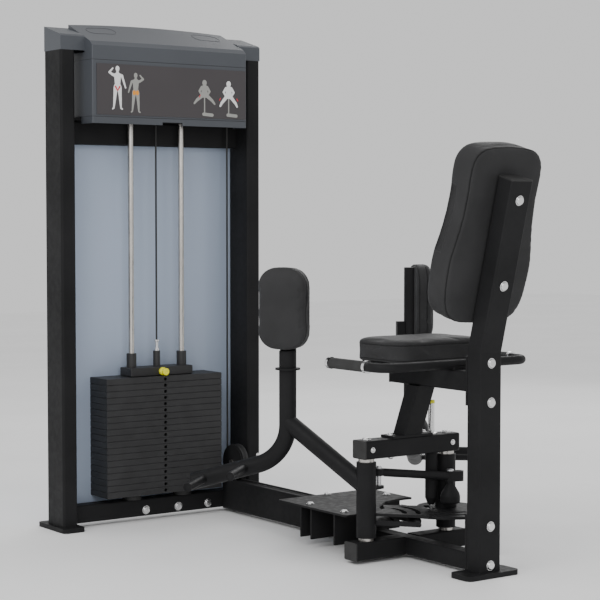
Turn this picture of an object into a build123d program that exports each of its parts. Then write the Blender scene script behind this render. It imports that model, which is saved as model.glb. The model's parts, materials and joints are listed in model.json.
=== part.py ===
"""Selectorized hip adductor and abductor machine.

Frame: +Z up, +Y the way the seated user faces (seat to weight tower), +X the user's right.
The origin is on the floor under the middle of the rear post. Sizes are in millimetres.
"""

from build123d import *
from math import atan2, cos, degrees, pi, radians, sin, tan
import os

os.makedirs("parts", exist_ok=True)

# ---- driving dimensions ----
WALL = 3.0
FOOT_T = 14.0
BEAM_W = 50.0

POST_W = 76.0
POST_BACK = -27.0
POST_FRONT = 30.0
POST_BEND_Z = 617.0
POST_TILT = 14.5
POST_TOP = 480.0
POST_D = POST_FRONT - POST_BACK

TOWER_X = -271.0
UPRIGHT_W = 50.0
UPRIGHT_FRONT = 1241.0
UPRIGHT_BACK = 1351.0
UPRIGHT_TOP = 1503.0
TOWER_HALF = 371.0
TOWER_IN = TOWER_HALF - UPRIGHT_W

STACK_X = -270.0
STACK_Y = 1296.0
PLATE_W = 432.0
PLATE_D = 110.0
PLATE_T = 20.1
PLATE_COUNT = 19
PLATE_Z = 89.2
ROD_R = 9.5
ROD_HALF = 94.5
STACK_TOP = PLATE_Z + PLATE_COUNT * PLATE_T
HEAD_T = 27.0
HEAD_TOP = STACK_TOP + 1.0 + HEAD_T
PIN_Z = HEAD_TOP - 14.0

PIVOT_X = 149.0
PIVOT_Y = 336.0
SLEEVE_R = 28.5
SLEEVE_Z0 = 71.0
SLEEVE_Z1 = 288.0
SHAFT_R = 12.5
PIVOT_BASE_TOP = 62.0
CROSSBEAM_HALF = 171.0
CROSSBEAM_D = 60.0
CROSSBEAM_Z0 = 298.0
CROSSBEAM_Z1 = 351.0
STRUT_Z0 = 358.0

ARM_X = 236.0
ARM_Y = 602.0
ARM_OPEN = 41.5
ARM_R = 25.5
ARM_TOP_Z = 537.0
FOOT_DROP = 15.8
FOOT_CORNER_Z = 279.0
FOOT_REACH = 289.0
PEG_AT = (129.0, 255.0)
PEG_R = 13.0
PEG_LENGTH = 180.0
BRACE_Z_ARM = 384.0
BRACE_Z_SLEEVE = 215.0

PAD_ANGLE = 28.0
PAD_W = 166.0
PAD_Z0 = 594.0
PAD_Z1 = 844.0
PAD_T = 57.0

CABLE_R = 3.0
CABLE_X = 5.0
TOP_PULLEY_R = 55.0
TOP_PULLEY_Z = 1438.0
BASE_PULLEY_R = 55.0
CABLE_Z = 114.0
CAM_R = PIVOT_X + CABLE_X

TRAVEL_X = PIVOT_X - 57.0
HOUSING_R = 17.5

SEAT_BEAM_Z0 = 506.0
SEAT_BEAM_Z1 = 563.0
SEAT_Z0 = 578.0
SEAT_Z1 = 641.0


def save(part, name):
    """Labels one finished piece and writes its file."""
    part.label = name
    export_step(part, "parts/" + name + ".step")


def span(x0, x1, y0, y1, z0, z1):
    """Centre and size of a box given by its limits."""
    centre = ((x0 + x1) / 2, (y0 + y1) / 2, (z0 + z1) / 2)
    return centre, (x1 - x0, y1 - y0, z1 - z0)


def block(x0, x1, y0, y1, z0, z1, edge=0.0):
    """A plain bar or plate, its vertical edges rounded when edge is given."""
    centre, size = span(x0, x1, y0, y1, z0, z1)
    with BuildPart() as bar:
        with Locations(centre):
            Box(*size)
        if edge:
            fillet(bar.edges().filter_by(Axis.Z), radius=edge)
    return bar.part


def box_tube(start, end, width, height, x_dir, corner=6.0, wall=WALL):
    """Open rectangular tube from start to end; width lies along x_dir."""
    run = Vector(*end) - Vector(*start)
    with BuildPart() as tube:
        with BuildSketch(Plane(origin=start, x_dir=x_dir, z_dir=run)):
            RectangleRounded(width, height, corner)
            RectangleRounded(width - 2 * wall, height - 2 * wall, corner - wall, mode=Mode.SUBTRACT)
        extrude(amount=run.length)
    return tube.part


def rod(start, end, radius, bore=0.0):
    """Round bar, or tube when bore is given, from start to end."""
    run = Vector(*end) - Vector(*start)
    with BuildPart() as bar:
        with BuildSketch(Plane(origin=start, z_dir=run)):
            Circle(radius)
            if bore:
                Circle(bore, mode=Mode.SUBTRACT)
        extrude(amount=run.length)
    return bar.part


def dome(centre, axis, radius=12.0, height=7.0):
    """Domed bolt head with a flat washer under it, standing on its seat along axis."""
    with BuildPart() as head:
        with BuildSketch(Plane(origin=centre, z_dir=axis)):
            Circle(radius)
        extrude(amount=height)
        fillet(head.edges().filter_by(GeomType.CIRCLE).sort_by(lambda e: -(e.center() - Vector(*centre)).length)[0],
               radius=height * 0.55)
        with BuildSketch(Plane(origin=centre, z_dir=axis)):
            Circle(radius + 2)
        extrude(amount=1.6)
    return head.part


def pulley(centre, axis, radius, width=20.0, bore=8.05):
    """Grooved pulley; radius is the one at which the cable's centre runs."""
    x_dir = (0, 0, 1) if abs(axis[2]) < 0.5 else (1, 0, 0)
    frame = Plane(origin=centre, x_dir=x_dir, z_dir=axis)
    section = Plane(origin=centre, x_dir=frame.x_dir, z_dir=frame.y_dir * -1)
    half = width / 2
    groove = radius - CABLE_R - 0.3
    with BuildPart() as wheel:
        with BuildSketch(section):
            with BuildLine():
                Polyline(
                    (bore, -half), (22, -half), (24, -half + 4), (radius - 12, -half + 4), (radius - 9, -half),
                    (radius + 4, -half), (radius + 4, -half + 2), (groove, -3.4), (groove, 3.4),
                    (radius + 4, half - 2), (radius + 4, half), (radius - 9, half), (radius - 12, half - 4),
                    (24, half - 4), (22, half), (bore, half), close=True,
                )
            make_face()
        revolve(axis=Axis(centre, axis))
    return wheel.part


def tilted(along, off):
    """Point (Y, Z) at a height along the tilted post and a distance in front of its rear face."""
    t = radians(POST_TILT)
    y = POST_BACK - along * sin(t) + off * cos(t)
    z = POST_BEND_Z + along * cos(t) + off * sin(t)
    return y, z


# ================= floor and main frame =================

save(block(-94, 94, -47, POST_FRONT + 8, 0, FOOT_T, 18), "rear_foot_plate")


def post_outline(inset):
    """Side view of the post: upright below, leaning back above."""
    low = FOOT_T if inset == 0 else FOOT_T - 5
    top = POST_TOP if inset == 0 else POST_TOP + 5
    bend = POST_D * tan(radians(POST_TILT / 2))
    rear = POST_BACK + inset
    front = POST_FRONT - inset
    points = [
        (rear, low),
        (rear, POST_BEND_Z),
        tilted(top, inset),
        tilted(top, POST_D - inset),
        (front, POST_BEND_Z + bend),
        (front, low),
    ]
    return points


with BuildPart() as rear_post:
    with BuildSketch(Plane.YZ.offset(-POST_W / 2)):
        with BuildLine():
            Polyline(*post_outline(0), close=True)
        make_face()
    extrude(amount=POST_W)
    long_edges = rear_post.edges().filter_by(lambda e: abs(e.center().X) > 36 and e.length > 100)
    fillet(long_edges, radius=5)
    with BuildSketch(Plane.YZ.offset(-POST_W / 2 + WALL)):
        with BuildLine():
            Polyline(*post_outline(WALL), close=True)
        make_face()
    extrude(amount=POST_W - 2 * WALL, mode=Mode.SUBTRACT)
save(rear_post.part, "rear_post")

cap_y, cap_z = tilted(POST_TOP, POST_D / 2)
with BuildPart() as post_cap:
    with BuildSketch(Plane(origin=(0, cap_y, cap_z), x_dir=(1, 0, 0),
                           z_dir=(0, -sin(radians(POST_TILT)), cos(radians(POST_TILT))))):
        RectangleRounded(POST_W, POST_D, 5)
    extrude(amount=4)
    with BuildSketch(Plane(origin=(0, cap_y, cap_z), x_dir=(1, 0, 0),
                           z_dir=(0, sin(radians(POST_TILT)), -cos(radians(POST_TILT))))):
        RectangleRounded(POST_W - 2 * WALL - 1, POST_D - 2 * WALL - 1, 3)
    extrude(amount=14)
end_plugs = [post_cap.part]

post_flanges = [
    block(-36, 36, POST_FRONT, POST_FRONT + 8, FOOT_T, 170),
    block(-36, 36, POST_FRONT, POST_FRONT + 8, 470, 606),
]
save(Compound(children=post_flanges), "post_flanges")

FLANGE_Y = POST_FRONT + 8
BEAM_STEP_Y = 724.0
CROSS_Y0 = 1280.0
save(box_tube((0, FLANGE_Y, 35), (0, BEAM_STEP_Y, 35), BEAM_W, 50, (1, 0, 0)), "rear_floor_beam")
save(box_tube((0, BEAM_STEP_Y, 60), (0, CROSS_Y0, 60), BEAM_W, 100, (1, 0, 0)), "front_floor_beam")
save(box_tube((0, FLANGE_Y, 534.5), (0, 385, 534.5), BEAM_W, 57, (1, 0, 0)), "seat_beam")
with BuildPart() as seat_beam_cap:
    with Locations((0, 387, 534.5)):
        Box(BEAM_W, 4, 57)
    with Locations((0, 378, 534.5)):
        Box(42, 13, 49)
end_plugs.append(seat_beam_cap.part)

pivot_bases = []
for side in (-1, 1):
    start = (side * BEAM_W / 2, PIVOT_Y, 36)
    pivot_bases.append(box_tube(start, (side * 202, PIVOT_Y, 36), 56, 52, (0, 1, 0)))
save(Compound(children=pivot_bases), "pivot_bases")

CROSSBEAM_MID = (CROSSBEAM_Z0 + CROSSBEAM_Z1) / 2
CROSSBEAM_H = CROSSBEAM_Z1 - CROSSBEAM_Z0
with BuildPart() as crossbeam:
    add(box_tube((-CROSSBEAM_HALF, PIVOT_Y, CROSSBEAM_MID), (CROSSBEAM_HALF, PIVOT_Y, CROSSBEAM_MID),
                 CROSSBEAM_D, CROSSBEAM_H, (0, 1, 0)))
    with Locations((TRAVEL_X, PIVOT_Y, CROSSBEAM_MID)):
        Cylinder(HOUSING_R + 0.1, 60, mode=Mode.SUBTRACT)
save(crossbeam.part, "pivot_crossbeam")

plug_places = [
    (-202, 36, 56, 52),
    (202, 36, 56, 52),
    (-CROSSBEAM_HALF, CROSSBEAM_MID, CROSSBEAM_D, CROSSBEAM_H),
    (CROSSBEAM_HALF, CROSSBEAM_MID, CROSSBEAM_D, CROSSBEAM_H),
]
for x, z, deep, high in plug_places:
    side = 1 if x > 0 else -1
    with BuildPart() as end_plug:
        with Locations((x + side * 2, PIVOT_Y, z)):
            Box(4, deep, high)
        fillet(end_plug.edges().filter_by(Axis.X), radius=5.5)
        with Locations((x - side * 6, PIVOT_Y, z)):
            Box(12, deep - 8, high - 8)
    end_plugs.append(end_plug.part)
save(Compound(children=end_plugs), "end_plugs")

STRUT_LEAN = 61.0
with BuildPart() as seat_strut:
    with BuildSketch(Plane.YZ.offset(-34)):
        with BuildLine():
            Polyline((307, STRUT_Z0), (361, STRUT_Z0), (361 - STRUT_LEAN, SEAT_BEAM_Z0),
                     (307 - STRUT_LEAN, SEAT_BEAM_Z0), close=True)
        make_face()
    extrude(amount=68)
    fillet(seat_strut.edges().filter_by(lambda e: abs(e.center().X) > 33 and e.length > 100), radius=5)
    with BuildSketch(Plane.YZ.offset(-31)):
        with BuildLine():
            Polyline((310.3, STRUT_Z0 - 0.1), (357.7, STRUT_Z0 - 0.1),
                     (357.7 - STRUT_LEAN, SEAT_BEAM_Z0 + 0.1), (310.3 - STRUT_LEAN, SEAT_BEAM_Z0 + 0.1), close=True)
        make_face()
    extrude(amount=62, mode=Mode.SUBTRACT)
    strut_foot = span(-73, 73, PIVOT_Y - CROSSBEAM_D / 2, PIVOT_Y + CROSSBEAM_D / 2, CROSSBEAM_Z1, STRUT_Z0)
    with Locations(strut_foot[0]):
        Box(*strut_foot[1])
save(seat_strut.part, "seat_strut")

pivot_shafts = []
for x in (-PIVOT_X, PIVOT_X):
    with BuildPart() as shaft:
        with BuildSketch(Plane.XY.offset(PIVOT_BASE_TOP)):
            with Locations((x, PIVOT_Y)):
                Circle(SHAFT_R)
        extrude(amount=CROSSBEAM_Z0 - PIVOT_BASE_TOP)
        with BuildSketch(Plane.XY.offset(SLEEVE_Z1 + 0.5)):
            with Locations((x, PIVOT_Y)):
                Circle(23)
        extrude(amount=CROSSBEAM_Z0 - SLEEVE_Z1 - 0.5)
    pivot_shafts.append(shaft.part)
    spacer_top = (x, PIVOT_Y, SLEEVE_Z0 - 0.5)
    pivot_shafts.append(rod((x, PIVOT_Y, PIVOT_BASE_TOP), spacer_top, 22, SHAFT_R + 0.05))
save(Compound(children=pivot_shafts), "pivot_shafts")

# ---- plate over the floor beam, with the ribs welded under it ----
GUIDE_Z = 122.0
with BuildPart() as guide_plate:
    plate_box = span(-178, 178, 396, 736, GUIDE_Z, GUIDE_Z + 6)
    with Locations(plate_box[0]):
        Box(*plate_box[1])
    fillet(guide_plate.edges().filter_by(Axis.Z), radius=8)
    with Locations((PIVOT_X, PIVOT_Y, GUIDE_Z + 3)):
        Cylinder(197, 12, mode=Mode.SUBTRACT)
    cut_box = span(60, 190, 390, 518, GUIDE_Z - 3, GUIDE_Z + 9)
    with Locations(cut_box[0]):
        Box(*cut_box[1], mode=Mode.SUBTRACT)
    for side, rows in ((-1, (464, 579, 631)), (1, (579, 631))):
        x0, x1 = sorted((side * BEAM_W / 2, side * 168))
        for y in rows:
            rib_box = span(x0, x1, y - 3, y + 3, 29, GUIDE_Z)
            with Locations(rib_box[0]):
                Box(*rib_box[1])
save(guide_plate.part, "cable_guide_plate")

# ================= weight tower =================

LEFT_OUT = TOWER_X - TOWER_HALF
LEFT_IN = TOWER_X - TOWER_IN
RIGHT_IN = TOWER_X + TOWER_IN
RIGHT_OUT = TOWER_X + TOWER_HALF
UPRIGHT_MID = (UPRIGHT_FRONT + UPRIGHT_BACK) / 2
tower_feet = []
tower_uprights = []
for x in (LEFT_OUT + UPRIGHT_W / 2, RIGHT_OUT - UPRIGHT_W / 2):
    tower_feet.append(block(x - 38, x + 38, 1212, 1394, 0, FOOT_T, 14))
    top = (x, UPRIGHT_MID, UPRIGHT_TOP)
    tower_uprights.append(box_tube((x, UPRIGHT_MID, FOOT_T), top, UPRIGHT_W, 110, (1, 0, 0), 8))
save(Compound(children=tower_feet), "tower_feet")
save(Compound(children=tower_uprights), "tower_uprights")

crossbeams = [
    box_tube((LEFT_IN, 1305, 42.5), (RIGHT_IN, 1305, 42.5), 50, 57, (0, 1, 0)),
    box_tube((LEFT_IN, 1325, 1251), (RIGHT_IN, 1325, 1251), 30, 74, (0, 1, 0)),
]
save(Compound(children=crossbeams), "tower_crossbeams")

with BuildPart() as back_panel:
    panel_box = span(-620, 71, UPRIGHT_BACK, UPRIGHT_BACK + 4, 58, 1216)
    with Locations(panel_box[0]):
        Box(*panel_box[1])
    fillet(back_panel.edges().filter_by(Axis.Y), radius=12)
save(back_panel.part, "back_panel")

with BuildPart() as rod_top_plate:
    plate_box = span(LEFT_IN, RIGHT_IN, 1272, 1340, 1288, 1296)
    with Locations(plate_box[0]):
        Box(*plate_box[1])
    with Locations((STACK_X - ROD_HALF, STACK_Y, 1296), (STACK_X + ROD_HALF, STACK_Y, 1296)):
        Hole(ROD_R + 0.05)
    with Locations((STACK_X, STACK_Y, 1296), (CABLE_X, STACK_Y, 1296)):
        Hole(12)
save(rod_top_plate.part, "rod_top_plate")

rods = []
bumpers = []
for x in (STACK_X - ROD_HALF, STACK_X + ROD_HALF):
    rods.append(rod((x, STACK_Y, 71), (x, STACK_Y, 1296), ROD_R))
    bumpers.append(rod((x, STACK_Y, 71), (x, STACK_Y, PLATE_Z), 30, ROD_R + 0.05))
save(Compound(children=rods), "guide_rods")
save(Compound(children=bumpers), "stack_bumpers")

plates = []
for i in range(PLATE_COUNT):
    z = PLATE_Z + i * PLATE_T
    with BuildPart() as plate:
        with Locations((STACK_X, STACK_Y, z + PLATE_T / 2)):
            Box(PLATE_W, PLATE_D, PLATE_T)
        chamfer(plate.edges().filter_by(lambda e: abs(e.center().Z - z - PLATE_T / 2) > 9), length=1.6)
        with Locations((STACK_X - ROD_HALF, STACK_Y, z + PLATE_T), (STACK_X + ROD_HALF, STACK_Y, z + PLATE_T)):
            Hole(ROD_R + 1.5)
        with Locations((STACK_X, STACK_Y, z + PLATE_T)):
            Hole(13)
        with BuildSketch(Plane.XZ.offset(-(STACK_Y - PLATE_D / 2))):
            with Locations((STACK_X, z + PLATE_T / 2)):
                Circle(5.5)
        extrude(amount=-PLATE_D / 2, mode=Mode.SUBTRACT)
    plates.append(plate.part)
save(Compound(children=plates), "weight_plates")

# ---- what the cable lifts: head plate, bushes, stem and its cable end ----
HEAD_Z0 = STACK_TOP + 1.0
with BuildPart() as head_plate:
    with Locations((STACK_X, STACK_Y, HEAD_Z0 + HEAD_T / 2)):
        Box(232, 72, HEAD_T)
    chamfer(head_plate.edges(), length=1.5)
    with Locations((STACK_X - ROD_HALF, STACK_Y, HEAD_TOP), (STACK_X + ROD_HALF, STACK_Y, HEAD_TOP)):
        Hole(ROD_R + 1.0)
    with Locations((STACK_X, STACK_Y, HEAD_TOP)):
        Hole(11.05)
    with BuildSketch(Plane.XZ.offset(-(STACK_Y - 36))):
        with Locations((STACK_X, PIN_Z)):
            Circle(5.5)
    extrude(amount=-36, mode=Mode.SUBTRACT)
save(head_plate.part, "head_plate")

bushes = []
for x in (STACK_X - ROD_HALF, STACK_X + ROD_HALF):
    bushes.append(rod((x, STACK_Y, HEAD_TOP), (x, STACK_Y, HEAD_TOP + 46), 16, ROD_R + 0.08))
bushes.append(rod((STACK_X, STACK_Y, HEAD_TOP), (STACK_X, STACK_Y, HEAD_TOP + 51), 11.5))
save(Compound(children=bushes), "head_bushes")

with BuildPart() as selector_stem:
    with Locations((STACK_X, STACK_Y, (PLATE_Z + 1 + HEAD_TOP) / 2)):
        Cylinder(11, HEAD_TOP - PLATE_Z - 1)
    pin_heights = [PIN_Z] + [PLATE_Z + PLATE_T * (i + 0.5) for i in range(PLATE_COUNT)]
    for z in pin_heights:
        with BuildSketch(Plane.XZ.offset(-STACK_Y - 20)):
            with Locations((STACK_X, z)):
                Circle(5.5)
        extrude(amount=40, mode=Mode.SUBTRACT)
save(selector_stem.part, "selector_stem")

CABLE_END_Z = HEAD_TOP + 51
with BuildPart() as cable_end:
    with BuildSketch(Plane(origin=(STACK_X, STACK_Y, CABLE_END_Z), x_dir=(1, 0, 0), z_dir=(0, -1, 0))):
        with BuildLine():
            Polyline((0, 0), (9, 0), (9, 6), (5.5, 12), (5.5, 28), (9, 30), (9, 36), (0, 36), close=True)
        make_face()
    revolve(axis=Axis((STACK_X, STACK_Y, 0), (0, 0, 1)))
save(cable_end.part, "cable_end_fitting")

PIN_Y = STACK_Y - 36
with BuildPart() as selector_pin:
    with BuildSketch(Plane(origin=(STACK_X, PIN_Y, PIN_Z), x_dir=(1, 0, 0), z_dir=(0, 1, 0))):
        Circle(5)
    extrude(amount=44)
with BuildPart() as pin_knob:
    with BuildSketch(Plane(origin=(STACK_X, PIN_Y, PIN_Z), x_dir=(1, 0, 0), z_dir=(0, 0, 1))):
        with BuildLine():
            Polyline((0, 0), (13, 0), (13, -7), (8, -10), (8, -15), (11.5, -18), (11.5, -25), (9, -27), (0, -27),
                     close=True)
        make_face()
    revolve(axis=Axis((STACK_X, PIN_Y, PIN_Z), (0, 1, 0)))
save(Compound(children=[selector_pin.part, pin_knob.part]), "selector_pin")

# ---- top pulleys, their bracket, the base pulley ----
pulley_left_x = STACK_X + TOP_PULLEY_R
pulley_right_x = CABLE_X - TOP_PULLEY_R
for name, x in (("left_top_pulley", pulley_left_x), ("right_top_pulley", pulley_right_x)):
    save(pulley((x, STACK_Y, TOP_PULLEY_Z), (0, 1, 0), TOP_PULLEY_R), name)

bracket_plates = []
for y in (STACK_Y - 16, STACK_Y + 12):
    with BuildPart() as cheek:
        with Locations(span(pulley_left_x - 30, pulley_right_x + 30, y, y + 4, 1296, 1462)[0]):
            Box(*span(pulley_left_x - 30, pulley_right_x + 30, y, y + 4, 1296, 1462)[1])
        with BuildSketch(Plane.XZ.offset(-y - 10)):
            with Locations((pulley_left_x, TOP_PULLEY_Z), (pulley_right_x, TOP_PULLEY_Z)):
                Circle(8.05)
        extrude(amount=20, mode=Mode.SUBTRACT)
        chamfer(cheek.edges().filter_by(Axis.Y).group_by(Axis.Z)[-1], length=20)
    bracket_plates.append(cheek.part)


axles = []
for x in (pulley_left_x, pulley_right_x):
    axles.append(rod((x, STACK_Y - 24, TOP_PULLEY_Z), (x, STACK_Y + 24, TOP_PULLEY_Z), 8))


BASE_Y = STACK_Y - BASE_PULLEY_R
BASE_Z = CABLE_Z + BASE_PULLEY_R
save(pulley((CABLE_X, BASE_Y, BASE_Z), (1, 0, 0), BASE_PULLEY_R), "base_pulley")
for x, low, disc in ((CABLE_X - 17, 110, 57), (25, 72, 16)):
    with BuildPart() as ear:
        with BuildSketch(Plane.YZ.offset(x)):
            with BuildLine():
                Polyline((BASE_Y - 22, low), (BASE_Y + 22, low), (BASE_Y + 16, BASE_Z), (BASE_Y - 16, BASE_Z),
                         close=True)
            make_face()
            with Locations((BASE_Y, BASE_Z)):
                Circle(disc)
                Circle(8.05, mode=Mode.SUBTRACT)
        extrude(amount=4)
    bracket_plates.append(ear.part)
save(Compound(children=bracket_plates), "pulley_brackets")
axles.append(rod((CABLE_X - 24, BASE_Y, BASE_Z), (CABLE_X + 27, BASE_Y, BASE_Z), 8))
save(Compound(children=axles), "pulley_axles")

# ---- hood over the top of the tower ----
HOOD_X0 = -557.0
HOOD_X1 = 15.5
HOOD_FRONT = 1195.0
HOOD_BACK = 1350.0
HOOD_LOW = 1277.0
HOOD_EDGE_Z = 1532.0


def hood_body(inset):
    """The hood's front box and the part behind it, whose top rises to an arched rear edge."""
    x0 = HOOD_X0 + inset
    x1 = HOOD_X1 - inset
    low = HOOD_LOW if inset == 0 else HOOD_LOW - 5
    mid = (x0 + x1) / 2
    with BuildPart() as body:
        with BuildSketch(Plane.XZ.offset(-(HOOD_FRONT + inset))):
            with BuildLine():
                Polyline((x1, HOOD_EDGE_Z - 14 - inset), (x1, low), (x0, low), (x0, HOOD_EDGE_Z - 14 - inset))
                ThreePointArc((x0, HOOD_EDGE_Z - 14 - inset), (mid, HOOD_EDGE_Z - 13.5 - inset),
                              (x1, HOOD_EDGE_Z - 14 - inset))
            make_face()
        with BuildSketch(Plane.XZ.offset(-(HOOD_FRONT + 16))):
            with BuildLine():
                Polyline((x1, HOOD_EDGE_Z - inset), (x1, low), (x0, low), (x0, HOOD_EDGE_Z - inset))
                ThreePointArc((x0, HOOD_EDGE_Z - inset), (mid, HOOD_EDGE_Z + 1 - inset), (x1, HOOD_EDGE_Z - inset))
            make_face()
        loft(ruled=True)
        with BuildSketch(Plane.XZ.offset(-(HOOD_FRONT + 16))):
            with BuildLine():
                Polyline((x1, HOOD_EDGE_Z - inset), (x1, low), (x0, low), (x0, HOOD_EDGE_Z - inset))
                ThreePointArc((x0, HOOD_EDGE_Z - inset), (mid, HOOD_EDGE_Z + 1 - inset), (x1, HOOD_EDGE_Z - inset))
            make_face()
        with BuildSketch(Plane.XZ.offset(-(HOOD_BACK - inset * 0.25))):
            with BuildLine():
                Polyline((x1, 1592 - inset), (x1, low), (x0, low), (x0, 1592 - inset))
                ThreePointArc((x0, 1592 - inset), (mid, 1600 - inset), (x1, 1592 - inset))
            make_face()
        loft(ruled=True)
    return body.part


def hood_cap(x0, x1, inset):
    """End piece over the top of one upright, its top sloping to the front."""
    low = UPRIGHT_TOP if inset == 0 else UPRIGHT_TOP - 5
    with BuildPart() as end:
        with BuildSketch(Plane.YZ.offset(x0)):
            with BuildLine():
                Polyline((UPRIGHT_FRONT + inset, low), (UPRIGHT_FRONT + inset, 1546 - inset),
                         (UPRIGHT_FRONT + 8 + inset, 1552 - inset), (HOOD_BACK - inset * 0.25, 1581 - inset),
                         (HOOD_BACK - inset * 0.25, low), close=True)
            make_face()
        extrude(amount=x1 - x0)
    return end.part


with BuildPart() as top_hood:
    add(hood_body(0))
    add(hood_cap(LEFT_OUT, HOOD_X0, 0))
    add(hood_cap(HOOD_X1, RIGHT_OUT, 0))
    add(hood_body(4), mode=Mode.SUBTRACT)
    add(hood_cap(LEFT_OUT + 4, HOOD_X0 + 4.5, 4), mode=Mode.SUBTRACT)
    add(hood_cap(HOOD_X1 - 4.5, RIGHT_OUT - 4, 4), mode=Mode.SUBTRACT)
    notch = span(-303, -229, HOOD_FRONT - 10, HOOD_FRONT + 10, HOOD_LOW - 5, HOOD_LOW + 9)
    with Locations(notch[0]):
        Box(*notch[1], mode=Mode.SUBTRACT)
    beam_gap = span(HOOD_X0 - 5, HOOD_X1 + 5, 1268, HOOD_BACK + 5, HOOD_LOW - 5, 1300)
    with Locations(beam_gap[0]):
        Box(*beam_gap[1], mode=Mode.SUBTRACT)
    fillet(top_hood.edges().filter_by(Axis.Z).group_by(Axis.Y)[0], radius=3)
save(top_hood.part, "top_hood")

placard_box = span(-542, HOOD_X1 - 4, HOOD_FRONT - 2, HOOD_FRONT, 1304, 1462)
with BuildPart() as placard:
    with Locations(placard_box[0]):
        Box(*placard_box[1])
save(placard.part, "placard")

# ================= seat, backrest and handles =================

HANDLE_X = 265.0
HANDLE_Y = 112.0
HANDLE_Z = 577.0
HANDLE_TIP = 352.0
BAR_R = 13.0
HANDLE_BEND = 45.0

SEAT_X = 166.0
SEAT_Y0 = 173.0
SEAT_Y1 = 393.0
seat_base = []
for y in (190, 310):
    seat_base.append(block(-100, 100, y, y + 30, SEAT_BEAM_Z1, SEAT_Z0 - 12))
seat_base.append(block(-SEAT_X + 15, SEAT_X - 15, SEAT_Y0 + 15, SEAT_Y1 - 15, SEAT_Z0 - 12, SEAT_Z0, 38))
with BuildPart() as saddle:
    saddle_box = span(-24, 24, HANDLE_Y - 14, HANDLE_Y + 14, SEAT_BEAM_Z1, SEAT_BEAM_Z1 + 9)
    with Locations(saddle_box[0]):
        Box(*saddle_box[1])
    with Locations(Location((0, HANDLE_Y, HANDLE_Z), (0, 90, 0))):
        Cylinder(BAR_R, 60, mode=Mode.SUBTRACT)
seat_base.append(saddle.part)
save(Compound(children=seat_base), "seat_base")
with BuildPart() as seat_pad:
    pad_box = span(-SEAT_X, SEAT_X, SEAT_Y0, SEAT_Y1, SEAT_Z0, SEAT_Z1)
    with Locations(pad_box[0]):
        Box(*pad_box[1])
    fillet(seat_pad.edges().filter_by(Axis.Z), radius=50)
    fillet(seat_pad.edges().group_by(Axis.Z)[-1], radius=10)
save(seat_pad.part, "seat_pad")

BACK_OFF = POST_D + 5
BACK_T = 98.0
back_y, back_z = tilted(0, BACK_OFF)
lean = radians(POST_TILT)
back_plane = Plane(origin=(0, back_y, back_z), x_dir=(1, 0, 0), z_dir=(0, -cos(lean), -sin(lean)))
# on this plane local y runs up the post
with BuildPart() as backrest_pad:
    with BuildSketch(back_plane):
        with BuildLine():
            side_line = [(92, 70), (146, 122), (154, 240), (134, 365), (133, 470), (85, 556)]
            Spline(side_line)
            ThreePointArc((85, 556), (0, 568), (-85, 556))
            Spline([(-x, s) for x, s in side_line])
            ThreePointArc((-92, 70), (0, 62), (92, 70))
        make_face()
    extrude(amount=-BACK_T)
save(backrest_pad.part, "backrest_pad")

with BuildPart() as backrest_bracket:
    with BuildSketch(Plane(origin=(0, tilted(0, POST_D)[0], tilted(0, POST_D)[1]), x_dir=(1, 0, 0),
                           z_dir=(0, cos(lean), sin(lean)))):
        with Locations((0, -290)):
            Rectangle(60, 340)
    extrude(amount=4.6)
save(backrest_bracket.part, "backrest_plate")

with BuildPart() as handle_bar:
    with BuildLine() as handle_path:
        FilletPolyline((-HANDLE_X, HANDLE_TIP - 6, HANDLE_Z), (-HANDLE_X, HANDLE_Y, HANDLE_Z),
                       (HANDLE_X, HANDLE_Y, HANDLE_Z), (HANDLE_X, HANDLE_TIP - 6, HANDLE_Z), radius=HANDLE_BEND)
    with BuildSketch(Plane(origin=(-HANDLE_X, HANDLE_TIP - 6, HANDLE_Z), z_dir=(0, -1, 0))):
        Circle(BAR_R)
        Circle(BAR_R - 2.5, mode=Mode.SUBTRACT)
    sweep(path=handle_path.wires()[0])
save(handle_bar.part, "handle_bar")

hand_grips = []
for x in (-HANDLE_X, HANDLE_X):
    hand_grips.append(rod((x, 189, HANDLE_Z), (x, HANDLE_TIP - 8, HANDLE_Z), BAR_R + 2.4, BAR_R + 0.05))
save(Compound(children=hand_grips), "hand_grips")
handle_trim = []
for x in (-HANDLE_X, HANDLE_X):
    handle_trim.append(rod((x, 178, HANDLE_Z), (x, 188.8, HANDLE_Z), BAR_R + 5, BAR_R + 0.05))
    with BuildPart() as tip:
        with BuildSketch(Plane(origin=(x, HANDLE_TIP - 6, HANDLE_Z), z_dir=(0, 1, 0))):
            Circle(BAR_R + 4)
        extrude(amount=12)
        fillet(tip.edges().group_by(Axis.Y)[-1], radius=3)
    handle_trim.append(tip.part)
save(Compound(children=handle_trim), "handle_rings")

# ================= moving arms =================

SWING = 36.0
LEFT_CRANK_R = 58.5
LEFT_CRANK_DEG = 14.0
LEFT_LINK_Z = 252.0
LEFT_PIN_R = 7.0
RIGHT_CRANK_R = 50.0
RIGHT_CRANK_DEG = 245.0
RIGHT_LINK_Z = 228.0
RIGHT_PIN_R = 5.0
COLLAR_Z0 = 131.0


def arm_point(side, along, out=0.0):
    """Plan position at a distance along the foot tube and out to its side."""
    a = radians(ARM_OPEN)
    x = -ARM_X - along * sin(a) - out * cos(a)
    y = ARM_Y + along * cos(a) - out * sin(a)
    return side * -x, y


def foot_z(along):
    """Height of the foot tube's centre line."""
    return FOOT_CORNER_Z - along * tan(radians(FOOT_DROP))


def crank_pin(pivot, radius, degree):
    """Plan position of a crank's pin."""
    return pivot[0] + radius * cos(radians(degree)), pivot[1] + radius * sin(radians(degree))


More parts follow.
